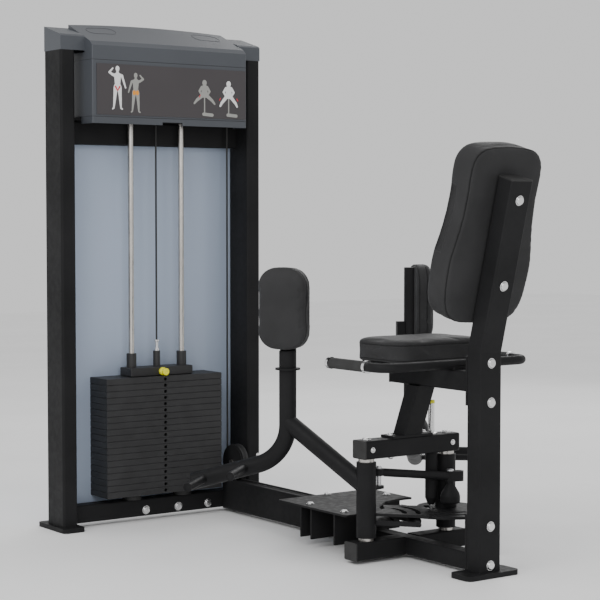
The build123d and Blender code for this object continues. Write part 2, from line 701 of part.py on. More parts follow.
def left_crank(pivot):
    """Flat crank plate with the tall plain pin of the link rod."""
    pin = crank_pin(pivot, LEFT_CRANK_R, LEFT_CRANK_DEG)
    with BuildPart() as crank:
        with BuildSketch(Plane.XY.offset(LEFT_LINK_Z - 47)):
            with Locations(pin):
                Circle(15)
            with Locations(Location((*pivot, 0), (0, 0, LEFT_CRANK_DEG))):
                with Locations((LEFT_CRANK_R / 2, 0)):
                    Rectangle(LEFT_CRANK_R, 30)
        extrude(amount=8)
        with BuildSketch(Plane.XY.offset(LEFT_LINK_Z - 40)):
            with Locations(pin):
                Circle(LEFT_PIN_R)
        extrude(amount=59)
        with BuildSketch(Plane.XY.offset(LEFT_LINK_Z + 10.5)):
            with Locations(pin):
                Circle(LEFT_PIN_R + 2.5)
        extrude(amount=5)
    return crank.part


def right_crank(pivot):
    """Bell-shaped boss beside the sleeve, its pin, and a collar that stands on the sector plate."""
    pin = crank_pin(pivot, RIGHT_CRANK_R, RIGHT_CRANK_DEG)
    with BuildPart() as crank:
        with BuildSketch(Plane(origin=(*pin, 0), x_dir=(1, 0, 0), z_dir=(0, -1, 0))):
            with BuildLine():
                Polyline((0, 150), (27, 150), (29, 154), (29, 170), (26, 180), (11, 205), (11, 212.5),
                         (RIGHT_PIN_R, 212.5), (RIGHT_PIN_R, 243.6), (10, 243.6), (10, 247), (8, 249), (0, 249),
                         close=True)
            make_face()
        revolve(axis=Axis((*pin, 0), (0, 0, 1)))
        with BuildSketch(Plane.XY.offset(COLLAR_Z0)):
            with Locations(pivot):
                Circle(32)
        extrude(amount=24)
    return crank.part


def make_arm(side, name):
    """One arm: sleeve on the pivot, brace, swept tube, pegs, pad post and pad."""
    pivot = (side * PIVOT_X, PIVOT_Y)
    post = (side * ARM_X, ARM_Y)
    end = arm_point(side, FOOT_REACH)

    brace_top = Vector(*post, BRACE_Z_ARM)
    brace_low = Vector(*pivot, BRACE_Z_SLEEVE)
    with BuildPart() as crank:
        add(left_crank(pivot) if side < 0 else right_crank(pivot))
        with BuildSketch(Plane.XY.offset(SLEEVE_Z0 + 1)):
            with Locations(pivot):
                Circle(SLEEVE_R - 1)
        extrude(amount=SLEEVE_Z1 - SLEEVE_Z0 - 2, mode=Mode.SUBTRACT)
        with BuildSketch(Plane(origin=brace_top, z_dir=brace_low - brace_top)):
            Circle(ARM_R + 0.02)
        extrude(amount=(brace_low - brace_top).length, mode=Mode.SUBTRACT)
        with BuildSketch(Plane.XY.offset(SLEEVE_Z0)):
            with Locations(pivot):
                Circle(SLEEVE_R)
                Circle(19.0, mode=Mode.SUBTRACT)
        extrude(amount=SLEEVE_Z1 - SLEEVE_Z0)
    hub = [
        crank.part,
        rod((*pivot, SLEEVE_Z0), (*pivot, SLEEVE_Z0 + 30), 19.0, SHAFT_R + 0.05),
        rod((*pivot, SLEEVE_Z1 - 30), (*pivot, SLEEVE_Z1), 19.0, SHAFT_R + 0.05),
    ]
    save(Compound(children=hub), name + "_arm_hub")

    with BuildPart() as arm_tube:
        with BuildLine() as arm_path:
            FilletPolyline((*post, ARM_TOP_Z), (*post, FOOT_CORNER_Z), (*end, foot_z(FOOT_REACH)), radius=125)
        with BuildSketch(Plane(origin=(*post, ARM_TOP_Z), z_dir=(0, 0, -1))):
            Circle(ARM_R)
            Circle(ARM_R - WALL, mode=Mode.SUBTRACT)
        sweep(path=arm_path.wires()[0])
    with BuildPart() as arm_core:
        with BuildSketch(Plane(origin=(*post, ARM_TOP_Z), z_dir=(0, 0, -1))):
            Circle(ARM_R)
        sweep(path=arm_path.wires()[0])

    cap_axis = Vector(end[0] - post[0], end[1] - post[1], foot_z(FOOT_REACH) - FOOT_CORNER_Z).normalized()
    cap_at = Vector(*end, foot_z(FOOT_REACH))
    with BuildPart() as cap:
        with BuildSketch(Plane(origin=cap_at, z_dir=cap_axis)):
            Circle(ARM_R)
        extrude(amount=4)
        fillet(cap.edges().sort_by(lambda e: -(e.center() - cap_at).length)[0], radius=2)
    save(Compound(children=[arm_tube.part, cap.part]), name + "_arm_tube")

    with BuildPart() as brace:
        with BuildSketch(Plane(origin=brace_top, z_dir=brace_low - brace_top)):
            Circle(ARM_R)
            Circle(ARM_R - WALL, mode=Mode.SUBTRACT)
        extrude(amount=(brace_low - brace_top).length)
        add(arm_core.part, mode=Mode.SUBTRACT)
        with Locations((*pivot, 215)):
            Cylinder(SLEEVE_R, 300, mode=Mode.SUBTRACT)
    pieces = brace.part.solids().sort_by(SortBy.VOLUME)
    save(Part(pieces[-1].wrapped), name + "_arm_brace")

    pegs = []
    for along in PEG_AT:
        root = Vector(*arm_point(side, along), foot_z(along))
        tip = Vector(*arm_point(side, along, PEG_LENGTH), foot_z(along))
        with BuildPart() as peg:
            with BuildSketch(Plane(origin=root, z_dir=tip - root)):
                Circle(PEG_R)
                Circle(PEG_R - 3, mode=Mode.SUBTRACT)
            extrude(amount=(tip - root).length)
            with BuildSketch(Plane(origin=tip + (root - tip).normalized() * 2, z_dir=root - tip)):
                Circle(PEG_R - 2)
            extrude(amount=5)
            add(arm_core.part, mode=Mode.SUBTRACT)
        solids = peg.part.solids().sort_by(SortBy.VOLUME)
        pegs.append(Part(solids[-1].wrapped))
    save(Compound(children=pegs), name + "_foot_pegs")

    a = radians(PAD_ANGLE)
    n = (side * cos(a), -sin(a))
    pad_face = Plane(origin=(*post, 0), x_dir=(0, 0, 1), z_dir=(n[0], n[1], 0))
    with BuildPart() as pad_post:
        with BuildSketch(Plane.XY.offset(ARM_TOP_Z + 0.5)):
            with Locations(post):
                Circle(37)
        extrude(amount=5)
        with BuildSketch(Plane.XY.offset(ARM_TOP_Z + 5.5)):
            with Locations(post):
                Circle(ARM_R)
        extrude(amount=PAD_Z1 - 14 - ARM_TOP_Z - 5.5)
        with BuildSketch(Plane(origin=(*post, 0), x_dir=(0, 0, 1), z_dir=(n[0], n[1], 0))):
            with Locations(((PAD_Z0 + PAD_Z1) / 2 + 20, 0)):
                Rectangle(PAD_Z1 - PAD_Z0 + 40 + 2, 120)
        extrude(amount=60, mode=Mode.SUBTRACT)
        with BuildSketch(Plane.XY.offset(ARM_TOP_Z - 60)):
            with Locations(post):
                Circle(ARM_R - WALL - 0.08)
        extrude(amount=60.5)

    with BuildPart() as pad:
        with BuildSketch(pad_face.offset(0.5)):
            with Locations(((PAD_Z0 + PAD_Z1) / 2, 0)):
                RectangleRounded(PAD_Z1 - PAD_Z0, PAD_W, 60)
        extrude(amount=PAD_T)
        fillet(pad.edges().sort_by(lambda e: (e.center() - Vector(*post, 0)).dot(Vector(*n, 0)))[-8:], radius=9)
    save(pad.part, name + "_thigh_pad")

    back = Vector(-n[0], -n[1], 0)
    latch_at = Vector(*post, 638) + back * (ARM_R - 1.5)
    with BuildPart() as latch:
        with BuildSketch(Plane(origin=latch_at, x_dir=(0, 0, 1), z_dir=back)):
            RectangleRounded(50, 26, 4)
        extrude(amount=25)
        with BuildSketch(Plane.XY.offset(500)):
            with Locations(post):
                Circle(ARM_R)
        extrude(amount=300, mode=Mode.SUBTRACT)
    save(Compound(children=[pad_post.part, latch.part]), name + "_pad_post")


make_arm(-1, "left")
make_arm(1, "right")

# ---- sector plates on the sleeves, with curved slots ----


def arc_slot(radius, start, arc, width):
    """Closed outline of a curved slot about the local origin, as a sketch object."""
    inner = radius - width / 2
    outer = radius + width / 2
    points = []
    for r, a in ((inner, 0), (inner, 0.5), (inner, 1), (outer, 1), (outer, 0.5), (outer, 0)):
        t = radians(start + arc * a)
        points.append((r * cos(t), r * sin(t)))
    first = radians(start)
    last = radians(start + arc)
    edges = [
        ThreePointArc(points[0], points[1], points[2]),
        ThreePointArc(points[2], (radius * cos(last) - width / 2 * sin(last),
                                  radius * sin(last) + width / 2 * cos(last)), points[3]),
        ThreePointArc(points[3], points[4], points[5]),
        ThreePointArc(points[5], (radius * cos(first) + width / 2 * sin(first),
                                  radius * sin(first) - width / 2 * cos(first)), points[0]),
    ]
    return make_face(edges)


def sector(side, z0, hub, first, spread, radius, slots):
    """Sector plate around one pivot: a hub disc and a wing that points inwards and back."""
    pivot = (side * PIVOT_X, PIVOT_Y)
    openings = [arc_slot(*slot) for slot in slots]
    with BuildPart() as plate:
        with BuildSketch(Plane(origin=(*pivot, z0))):
            Circle(hub)
            with BuildLine():
                a0 = radians(first)
                a1 = radians(first + spread)
                am = (a0 + a1) / 2
                Line((0, 0), (radius * cos(a0), radius * sin(a0)))
                ThreePointArc((radius * cos(a0), radius * sin(a0)), (radius * cos(am), radius * sin(am)),
                              (radius * cos(a1), radius * sin(a1)))
                Line((radius * cos(a1), radius * sin(a1)), (0, 0))
            make_face()
            Circle(SLEEVE_R, mode=Mode.SUBTRACT)
            for slot in openings:
                add(slot, mode=Mode.SUBTRACT)
        extrude(amount=SECTOR_T)
    return plate.part


LEFT_SECTOR_Z = 133.0
RIGHT_SECTOR_Z = 123.0
SECTOR_T = 8.0
left_slots = ((110, -38, 44, 15), (150, -40, 48, 15))
right_slots = ((57, 138, 48, 18), (110, 160, 100, 15), (150, 154, 112, 15))
save(sector(-1, LEFT_SECTOR_Z, SLEEVE_R, -50, 67, 180, left_slots), "left_sector_plate")
save(sector(1, RIGHT_SECTOR_Z, 85, 138, 142, 185, right_slots), "right_sector_plate")

CAM_GROOVE = CAM_R - CABLE_R - 0.3
cam_window = arc_slot(CAM_R - 52, -34, 58, 44)
with BuildPart() as cable_cam:
    with BuildSketch(Plane(origin=(-PIVOT_X, PIVOT_Y, CABLE_Z - 7))):
        with BuildLine():
            cam_start = radians(-52)
            cam_mid = radians(-6)
            cam_end = radians(40)
            rim = CAM_R + 4
            Line((0, 0), (rim * cos(cam_start), rim * sin(cam_start)))
            ThreePointArc((rim * cos(cam_start), rim * sin(cam_start)), (rim * cos(cam_mid), rim * sin(cam_mid)),
                          (rim * cos(cam_end), rim * sin(cam_end)))
            Line((rim * cos(cam_end), rim * sin(cam_end)), (0, 0))
        make_face()
        Circle(SLEEVE_R, mode=Mode.SUBTRACT)
        add(cam_window, mode=Mode.SUBTRACT)
    extrude(amount=14)
    with BuildSketch(Plane(origin=(-PIVOT_X, PIVOT_Y, CABLE_Z - 3.4))):
        Circle(CAM_R + 10)
        Circle(CAM_GROOVE, mode=Mode.SUBTRACT)
    extrude(amount=6.8, mode=Mode.SUBTRACT)
save(cable_cam.part, "cable_cam")

# ---- link rod between the two cranks, crossing the middle; its slotted eye slides on the right pin ----
left_pin = Vector(*crank_pin((-PIVOT_X, PIVOT_Y), LEFT_CRANK_R, LEFT_CRANK_DEG), LEFT_LINK_Z)
right_pin = Vector(*crank_pin((PIVOT_X, PIVOT_Y), RIGHT_CRANK_R, RIGHT_CRANK_DEG), RIGHT_LINK_Z)
closed_left = crank_pin((-PIVOT_X, PIVOT_Y), LEFT_CRANK_R, LEFT_CRANK_DEG - SWING)
closed_right = crank_pin((PIVOT_X, PIVOT_Y), RIGHT_CRANK_R, RIGHT_CRANK_DEG + SWING)
link_run = Vector(right_pin.X - left_pin.X, right_pin.Y - left_pin.Y, 0)
closed_run = Vector(closed_right[0] - closed_left[0], closed_right[1] - closed_left[1], 0)
link_dir = link_run.normalized()
link_deg = degrees(atan2(link_dir.Y, link_dir.X))
slot_run = closed_run.length - link_run.length
slot_end = right_pin + link_dir * slot_run
slot_mid = (right_pin + slot_end) * 0.5
with BuildPart() as link_rod:
    with BuildSketch(Plane.XY.offset(LEFT_LINK_Z - 10)):
        with Locations((left_pin.X, left_pin.Y)):
            Circle(14)
    extrude(amount=20)
    with BuildSketch(Plane.XY.offset(RIGHT_LINK_Z - 15)):
        with Locations(Location((slot_mid.X, slot_mid.Y, 0), (0, 0, link_deg))):
            SlotCenterToCenter(slot_run + 1, 28)
    extrude(amount=30)
    with BuildSketch(Plane(origin=left_pin, z_dir=right_pin - left_pin)):
        Circle(12)
    extrude(amount=(right_pin - left_pin).length - 8)
    with BuildSketch(Plane.XY.offset(LEFT_LINK_Z - 20)):
        with Locations((left_pin.X, left_pin.Y)):
            Circle(LEFT_PIN_R + 0.08)
    extrude(amount=40, mode=Mode.SUBTRACT)
    with BuildSketch(Plane.XY.offset(RIGHT_LINK_Z - 20)):
        with Locations(Location((slot_mid.X, slot_mid.Y, 0), (0, 0, link_deg))):
            SlotCenterToCenter(slot_run + 2, 2 * RIGHT_PIN_R + 3.4)
    extrude(amount=40, mode=Mode.SUBTRACT)
    with BuildSketch(Plane.XY.offset(LEFT_LINK_Z - 20)):
        with Locations((left_pin.X, left_pin.Y)):
            Circle(17)
    extrude(amount=9.95, mode=Mode.SUBTRACT)
    with BuildSketch(Plane.XY.offset(LEFT_LINK_Z + 10.05)):
        with Locations((left_pin.X, left_pin.Y)):
            Circle(17)
    extrude(amount=10, mode=Mode.SUBTRACT)
save(link_rod.part, "link_rod")

# ================= travel pin on the crossbeam =================

travel_plane = Plane(origin=(TRAVEL_X, PIVOT_Y, 0), x_dir=(1, 0, 0), z_dir=(0, -1, 0))
travel_axis = Axis((TRAVEL_X, PIVOT_Y, 0), (0, 0, 1))
with BuildPart() as travel_holder:
    with BuildSketch(travel_plane):
        with BuildLine():
            Polyline((6.05, 143), (9.5, 143), (HOUSING_R, 163), (HOUSING_R, CROSSBEAM_Z1), (6.05, CROSSBEAM_Z1),
                     close=True)
        make_face()
    revolve(axis=travel_axis)
save(travel_holder.part, "travel_pin_holder")

with BuildPart() as travel_pin:
    with BuildSketch(travel_plane):
        with BuildLine():
            Polyline((0, 119), (4.5, 119), (6, 122), (6, CROSSBEAM_Z1 + 0.3), (17, CROSSBEAM_Z1 + 0.3),
                     (17, CROSSBEAM_Z1 + 4), (9.3, CROSSBEAM_Z1 + 6), (9.3, 441), (10.5, 442), (10.5, 449),
                     (8, 451), (0, 451), close=True)
        make_face()
    revolve(axis=travel_axis)
save(travel_pin.part, "travel_pin")

# ================= cable =================

WRAP_DEG = 50.0
with BuildPart() as cable:
    with BuildLine() as route:
        wrap = radians(WRAP_DEG)
        CenterArc((-PIVOT_X, PIVOT_Y, CABLE_Z), CAM_R, -WRAP_DEG, WRAP_DEG)
        Line((CABLE_X, PIVOT_Y, CABLE_Z), (CABLE_X, BASE_Y, CABLE_Z))
        base_mid = (CABLE_X, BASE_Y + BASE_PULLEY_R * sin(pi / 4), BASE_Z - BASE_PULLEY_R * cos(pi / 4))
        ThreePointArc((CABLE_X, BASE_Y, CABLE_Z), base_mid, (CABLE_X, STACK_Y, BASE_Z))
        Line((CABLE_X, STACK_Y, BASE_Z), (CABLE_X, STACK_Y, TOP_PULLEY_Z))
        bend = TOP_PULLEY_R * cos(pi / 4)
        over = TOP_PULLEY_Z + TOP_PULLEY_R
        ThreePointArc((CABLE_X, STACK_Y, TOP_PULLEY_Z), (pulley_right_x + bend, STACK_Y, TOP_PULLEY_Z + bend),
                      (pulley_right_x, STACK_Y, over))
        Line((pulley_right_x, STACK_Y, over), (pulley_left_x, STACK_Y, over))
        ThreePointArc((pulley_left_x, STACK_Y, over), (pulley_left_x - bend, STACK_Y, TOP_PULLEY_Z + bend),
                      (STACK_X, STACK_Y, TOP_PULLEY_Z))
    with BuildSketch(Plane(origin=route.wires()[0] @ 0, z_dir=route.wires()[0] % 0)):
        Circle(CABLE_R)
    sweep(path=route.wires()[0])
save(cable.part, "cable")
save(rod((STACK_X, STACK_Y, CABLE_END_Z + 36), (STACK_X, STACK_Y, TOP_PULLEY_Z), CABLE_R), "head_cable")

# ================= bolts =================

bolts = []
for z in (32, 140, 481, 589):
    bolts.append(dome((0, POST_BACK, z), (0, -1, 0)))
for along in (190, 428):
    y, z = tilted(along, 0)
    bolts.append(dome((0, y, z), (0, -cos(lean), -sin(lean))))
for x in (-322, -199.5, -84):
    bolts.append(dome((x, 1280, 34), (0, -1, 0)))
for x, y in ((-146, 444), (-146, 613), (146, 613), (0, 723)):
    bolts.append(dome((x, y, GUIDE_Z + 6), (0, 0, 1), 10, 6))
for x in (-PIVOT_X, PIVOT_X):
    bolts.append(dome((x, PIVOT_Y, CROSSBEAM_Z1), (0, 0, 1)))
    bolts.append(dome((x, PIVOT_Y - CROSSBEAM_D / 2, 325), (0, -1, 0), 6, 4))
for x in (-60, 60):
    bolts.append(dome((x, PIVOT_Y, STRUT_Z0), (0, 0, 1), 9, 7))
    bolts.append(dome((x, PIVOT_Y, CROSSBEAM_Z0), (0, 0, -1), 8, 9))
bolts.append(dome((RIGHT_OUT - 10, UPRIGHT_FRONT, 184), (0, -1, 0), 5, 4))
save(Compound(children=bolts), "bolts")
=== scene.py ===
import json
from math import atan2, cos, exp, pi, radians, sin

import bpy
from mathutils import Matrix, Vector
from mathutils.kdtree import KDTree


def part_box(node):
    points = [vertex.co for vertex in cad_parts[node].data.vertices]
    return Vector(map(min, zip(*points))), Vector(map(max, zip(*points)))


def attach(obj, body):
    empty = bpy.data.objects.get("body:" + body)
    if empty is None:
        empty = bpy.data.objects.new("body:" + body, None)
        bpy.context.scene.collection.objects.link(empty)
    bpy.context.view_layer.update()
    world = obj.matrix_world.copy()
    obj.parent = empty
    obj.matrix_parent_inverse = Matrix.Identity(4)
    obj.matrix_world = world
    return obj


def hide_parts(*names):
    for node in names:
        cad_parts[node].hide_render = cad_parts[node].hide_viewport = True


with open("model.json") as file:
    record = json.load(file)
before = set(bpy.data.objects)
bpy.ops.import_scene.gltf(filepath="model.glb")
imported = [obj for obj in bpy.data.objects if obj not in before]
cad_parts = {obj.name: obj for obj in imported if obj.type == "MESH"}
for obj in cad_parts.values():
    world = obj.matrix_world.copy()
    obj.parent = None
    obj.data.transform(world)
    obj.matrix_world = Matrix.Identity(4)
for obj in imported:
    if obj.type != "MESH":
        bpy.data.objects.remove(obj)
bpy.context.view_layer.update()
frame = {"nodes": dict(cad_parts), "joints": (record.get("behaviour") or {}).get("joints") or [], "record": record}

MM = 0.001

# ---- camera and studio ----

CAMERA_AT = Vector((-3.147, -3.527, 1.0))
CAMERA_YAW = radians(35.594)
CAMERA_PITCH = radians(2.916)
LENS_MM = 103.224
SKY_STRENGTH = 0.85
FLOOR_HALF = 12.0
LIT_POINT = (-0.1, 0.7, 0.8)


def make_camera():
    """The camera at the viewing angle, 1 m above the floor."""
    data = bpy.data.cameras.new("camera")
    data.sensor_width = 36
    data.lens = LENS_MM
    camera = bpy.data.objects.new("camera", data)
    bpy.context.collection.objects.link(camera)
    level = cos(CAMERA_PITCH)
    ahead = Vector((sin(CAMERA_YAW) * level, cos(CAMERA_YAW) * level, -sin(CAMERA_PITCH)))
    camera.location = CAMERA_AT
    camera.rotation_euler = ahead.to_track_quat("-Z", "Y").to_euler()
    bpy.context.scene.camera = camera


def area_light(name, at, size, power):
    """One soft rectangular lamp that points at the middle of the machine."""
    data = bpy.data.lights.new(name, "AREA")
    data.shape = "RECTANGLE"
    data.size = size[0]
    data.size_y = size[1]
    data.energy = power
    lamp = bpy.data.objects.new(name, data)
    bpy.context.collection.objects.link(lamp)
    lamp.location = at
    lamp.rotation_euler = (Vector(LIT_POINT) - Vector(at)).to_track_quat("-Z", "Y").to_euler()


def make_studio():
    """White surroundings, soft lamps and a pale floor."""
    world = bpy.data.worlds.new("studio")
    bpy.context.scene.world = world
    world.use_nodes = True
    tree = world.node_tree
    surroundings = tree.nodes["Background"]
    surroundings.inputs["Color"].default_value = (1.0, 1.0, 1.0, 1.0)
    surroundings.inputs["Strength"].default_value = SKY_STRENGTH
    area_light("key", (-3.4, -0.6, 3.2), (2.2, 2.2), 62)
    area_light("front", (-1.8, -3.8, 2.2), (2.0, 2.6), 32)
    area_light("rim", (3.2, 3.2, 3.0), (2.4, 2.4), 45)
    data = bpy.data.meshes.new("floor")
    half = FLOOR_HALF
    corners = [(-half, -half, 0), (half, -half, 0), (half, half, 0), (-half, half, 0)]
    data.from_pydata(corners, [], [(0, 1, 2, 3)])
    floor = bpy.data.objects.new("floor", data)
    bpy.context.collection.objects.link(floor)
    floor.data.materials.append(floor_paint())


# ---- materials: small node helpers ----


def start_material(name, colour, rough, metal=0.0):
    """A principled material and the object coordinates that its textures use."""
    material = bpy.data.materials.new(name)
    material.use_nodes = True
    tree = material.node_tree
    shader = tree.nodes["Principled BSDF"]
    shader.inputs["Base Color"].default_value = (*colour, 1.0)
    shader.inputs["Roughness"].default_value = rough
    shader.inputs["Metallic"].default_value = metal
    coords = tree.nodes.new("ShaderNodeTexCoord")
    return material, tree, shader, coords.outputs["Object"]


def stretched(tree, vector, scale):
    """The coordinates scaled by a different amount on each axis."""
    mapping = tree.nodes.new("ShaderNodeMapping")
    mapping.inputs["Scale"].default_value = scale
    tree.links.new(vector, mapping.inputs["Vector"])
    return mapping.outputs["Vector"]


def noise(tree, vector, scale, detail=3.0, roughness=0.5):
    """Noise factor at a scale per metre."""
    node = tree.nodes.new("ShaderNodeTexNoise")
    node.inputs["Scale"].default_value = scale
    node.inputs["Detail"].default_value = detail
    node.inputs["Roughness"].default_value = roughness
    tree.links.new(vector, node.inputs["Vector"])
    return node.outputs["Fac"]


def cells(tree, vector, scale):
    """Distance to the edge of cells at a scale per metre."""
    node = tree.nodes.new("ShaderNodeTexVoronoi")
    node.feature = "DISTANCE_TO_EDGE"
    node.inputs["Scale"].default_value = scale
    tree.links.new(vector, node.inputs["Vector"])
    return node.outputs["Distance"]


def between(tree, factor, low, high, start=0.35, stop=0.65):
    """Maps a factor from start..stop to low..high."""
    node = tree.nodes.new("ShaderNodeMapRange")
    node.inputs["From Min"].default_value = start
    node.inputs["From Max"].default_value = stop
    node.inputs["To Min"].default_value = low
    node.inputs["To Max"].default_value = high
    tree.links.new(factor, node.inputs["Value"])
    return node.outputs["Result"]


def two_colours(tree, factor, first, second, start=0.35, stop=0.65):
    """Blends two colours by a factor."""
    node = tree.nodes.new("ShaderNodeValToRGB")
    node.color_ramp.elements[0].position = start
    node.color_ramp.elements[0].color = (*first, 1.0)
    node.color_ramp.elements[1].position = stop
    node.color_ramp.elements[1].color = (*second, 1.0)
    tree.links.new(factor, node.inputs["Fac"])
    return node.outputs["Color"]


def bump(tree, shader, height, strength, distance, below=None):
    """Adds a bump layer, on top of another when below is given."""
    node = tree.nodes.new("ShaderNodeBump")
    node.inputs["Strength"].default_value = strength
    node.inputs["Distance"].default_value = distance
    tree.links.new(height, node.inputs["Height"])
    if below is not None:
        tree.links.new(below, node.inputs["Normal"])
    tree.links.new(node.outputs["Normal"], shader.inputs["Normal"])
    return node.outputs["Normal"]


def shade_of(colour, factor):
    """A colour made lighter or darker."""
    return tuple(min(1.0, c * factor) for c in colour)


# ---- materials ----


def powder_coat(name, colour, rough=0.48):
    """Textured powder coat: fine pebbled surface with slow changes in shade and gloss."""
    material, tree, shader, where = start_material(name, colour, rough)
    clouds = noise(tree, where, 5.0, 4.0)
    shade = two_colours(tree, clouds, shade_of(colour, 0.86), shade_of(colour, 1.16))
    tree.links.new(shade, shader.inputs["Base Color"])
    pebbles = noise(tree, where, 900.0, 2.0)
    gloss = noise(tree, where, 60.0, 4.0)
    tree.links.new(between(tree, gloss, rough - 0.06, rough + 0.08), shader.inputs["Roughness"])
    bump(tree, shader, pebbles, 0.25, 0.0004)
    shader.inputs["Specular IOR Level"].default_value = 0.24
    shader.inputs["IOR"].default_value = 1.28
    return material


def moulded_plastic(name, colour, rough=0.45, grain=1400.0, depth=0.22):
    """Injection-moulded plastic with a fine spark-eroded grain."""
    material, tree, shader, where = start_material(name, colour, rough)
    clouds = noise(tree, where, 3.0, 3.0)
    shade = two_colours(tree, clouds, shade_of(colour, 0.93), shade_of(colour, 1.07))
    tree.links.new(shade, shader.inputs["Base Color"])
    fine = noise(tree, where, grain, 3.0, 0.6)
    tree.links.new(between(tree, fine, rough - 0.05, rough + 0.07), shader.inputs["Roughness"])
    bump(tree, shader, fine, depth, 0.0002)
    return material


def vinyl(name, colour, rough=0.52):
    """Upholstery vinyl: pebbled leather grain with fine pores and a soft sheen."""
    material, tree, shader, where = start_material(name, colour, rough)
    clouds = noise(tree, where, 9.0, 4.0)
    shade = two_colours(tree, clouds, shade_of(colour, 0.88), shade_of(colour, 1.12))
    tree.links.new(shade, shader.inputs["Base Color"])
    grain = cells(tree, where, 420.0)
    pores = noise(tree, where, 1500.0, 2.0)
    tree.links.new(between(tree, grain, rough + 0.1, rough - 0.04, 0.0, 0.25), shader.inputs["Roughness"])
    first = bump(tree, shader, between(tree, grain, 0.0, 1.0, 0.0, 0.12), 0.35, 0.00035)
    bump(tree, shader, pores, 0.12, 0.0002, first)
    shader.inputs["Specular IOR Level"].default_value = 0.26
    shader.inputs["IOR"].default_value = 1.28
    shader.inputs["Sheen Weight"].default_value = 0.05
    shader.inputs["Sheen Roughness"].default_value = 0.5
    return material


def brushed_metal(name, colour, rough=0.28, along=(1.0, 1.0, 0.03), lines=900.0):
    """Ground steel with fine lines along one axis."""
    material, tree, shader, where = start_material(name, colour, rough, 1.0)
    streaks = noise(tree, stretched(tree, where, along), lines, 4.0)
    smear = noise(tree, where, 14.0, 3.0)
    tree.links.new(between(tree, streaks, rough - 0.08, rough + 0.12), shader.inputs["Roughness"])
    shade = two_colours(tree, smear, shade_of(colour, 0.93), shade_of(colour, 1.05))
    tree.links.new(shade, shader.inputs["Base Color"])
    bump(tree, shader, streaks, 0.06, 0.0002)
    return material


def bright_metal(name, colour, rough=0.12):
    """Plated metal with faint smears in its gloss."""
    material, tree, shader, where = start_material(name, colour, rough, 1.0)
    smear = noise(tree, where, 40.0, 5.0)
    tree.links.new(between(tree, smear, rough - 0.05, rough + 0.1), shader.inputs["Roughness"])
    shade = two_colours(tree, smear, shade_of(colour, 0.95), shade_of(colour, 1.03))
    tree.links.new(shade, shader.inputs["Base Color"])
    bump(tree, shader, noise(tree, where, 300.0, 2.0), 0.012, 0.0001)
    return material


def coated_iron(name, colour):
    """Black painted weight plates with a slightly pitted cast surface and a tone that varies at random."""
    material, tree, shader, where = start_material(name, colour, 0.5)
    clouds = noise(tree, where, 22.0, 5.0)
    shade = two_colours(tree, clouds, shade_of(colour, 0.85), shade_of(colour, 1.2))
    tree.links.new(shade, shader.inputs["Base Color"])
    pits = noise(tree, where, 420.0, 4.0, 0.65)
    tree.links.new(between(tree, pits, 0.4, 0.62), shader.inputs["Roughness"])
    bump(tree, shader, pits, 0.3, 0.0005)
    return material


def rubber(name, colour, rough=0.62, grain=700.0):
    """Matt rubber with a dusty, finely grained skin."""
    material, tree, shader, where = start_material(name, colour, rough)
    dust = noise(tree, where, 30.0, 5.0)
    shade = two_colours(tree, dust, shade_of(colour, 0.85), shade_of(colour, 1.25))
    tree.links.new(shade, shader.inputs["Base Color"])
    fine = noise(tree, where, grain, 3.0)
    tree.links.new(between(tree, fine, rough - 0.06, rough + 0.1), shader.inputs["Roughness"])
    bump(tree, shader, fine, 0.25, 0.0003)
    return material


def frosted_panel(name, colour):
    """Frosted plastic sheet, a little lighter in broad soft bands."""
    material, tree, shader, where = start_material(name, colour, 0.4)
    bands = noise(tree, stretched(tree, where, (1.0, 1.0, 0.35)), 2.2, 2.0)
    shade = two_colours(tree, bands, shade_of(colour, 0.94), shade_of(colour, 1.08))
    tree.links.new(shade, shader.inputs["Base Color"])
    frost = noise(tree, where, 1800.0, 2.0)
    tree.links.new(between(tree, frost, 0.34, 0.5), shader.inputs["Roughness"])
    bump(tree, shader, frost, 0.12, 0.0002)
    shader.inputs["Coat Weight"].default_value = 0.15
    shader.inputs["Coat Roughness"].default_value = 0.3
    return material


def split_metal(name, colour, knob, axis, limit, knob_above):
    """Plated bar whose knob, past a limit along one axis, is glossy coloured plastic."""
    material, tree, shader, where = start_material(name, colour, 0.2)
    parts = tree.nodes.new("ShaderNodeSeparateXYZ")
    tree.links.new(where, parts.inputs["Vector"])
    mask = tree.nodes.new("ShaderNodeMath")
    mask.operation = "GREATER_THAN" if knob_above else "LESS_THAN"
    mask.inputs[1].default_value = limit
    tree.links.new(parts.outputs[axis], mask.inputs[0])
    is_knob = mask.outputs["Value"]
    shade = two_colours(tree, is_knob, colour, knob, 0.4, 0.6)
    tree.links.new(shade, shader.inputs["Base Color"])
    tree.links.new(between(tree, is_knob, 1.0, 0.0, 0.0, 1.0), shader.inputs["Metallic"])
    smear = noise(tree, where, 120.0, 4.0)
    tree.links.new(between(tree, smear, 0.16, 0.3), shader.inputs["Roughness"])
    bump(tree, shader, noise(tree, where, 500.0, 2.0), 0.05, 0.0002)
    return material


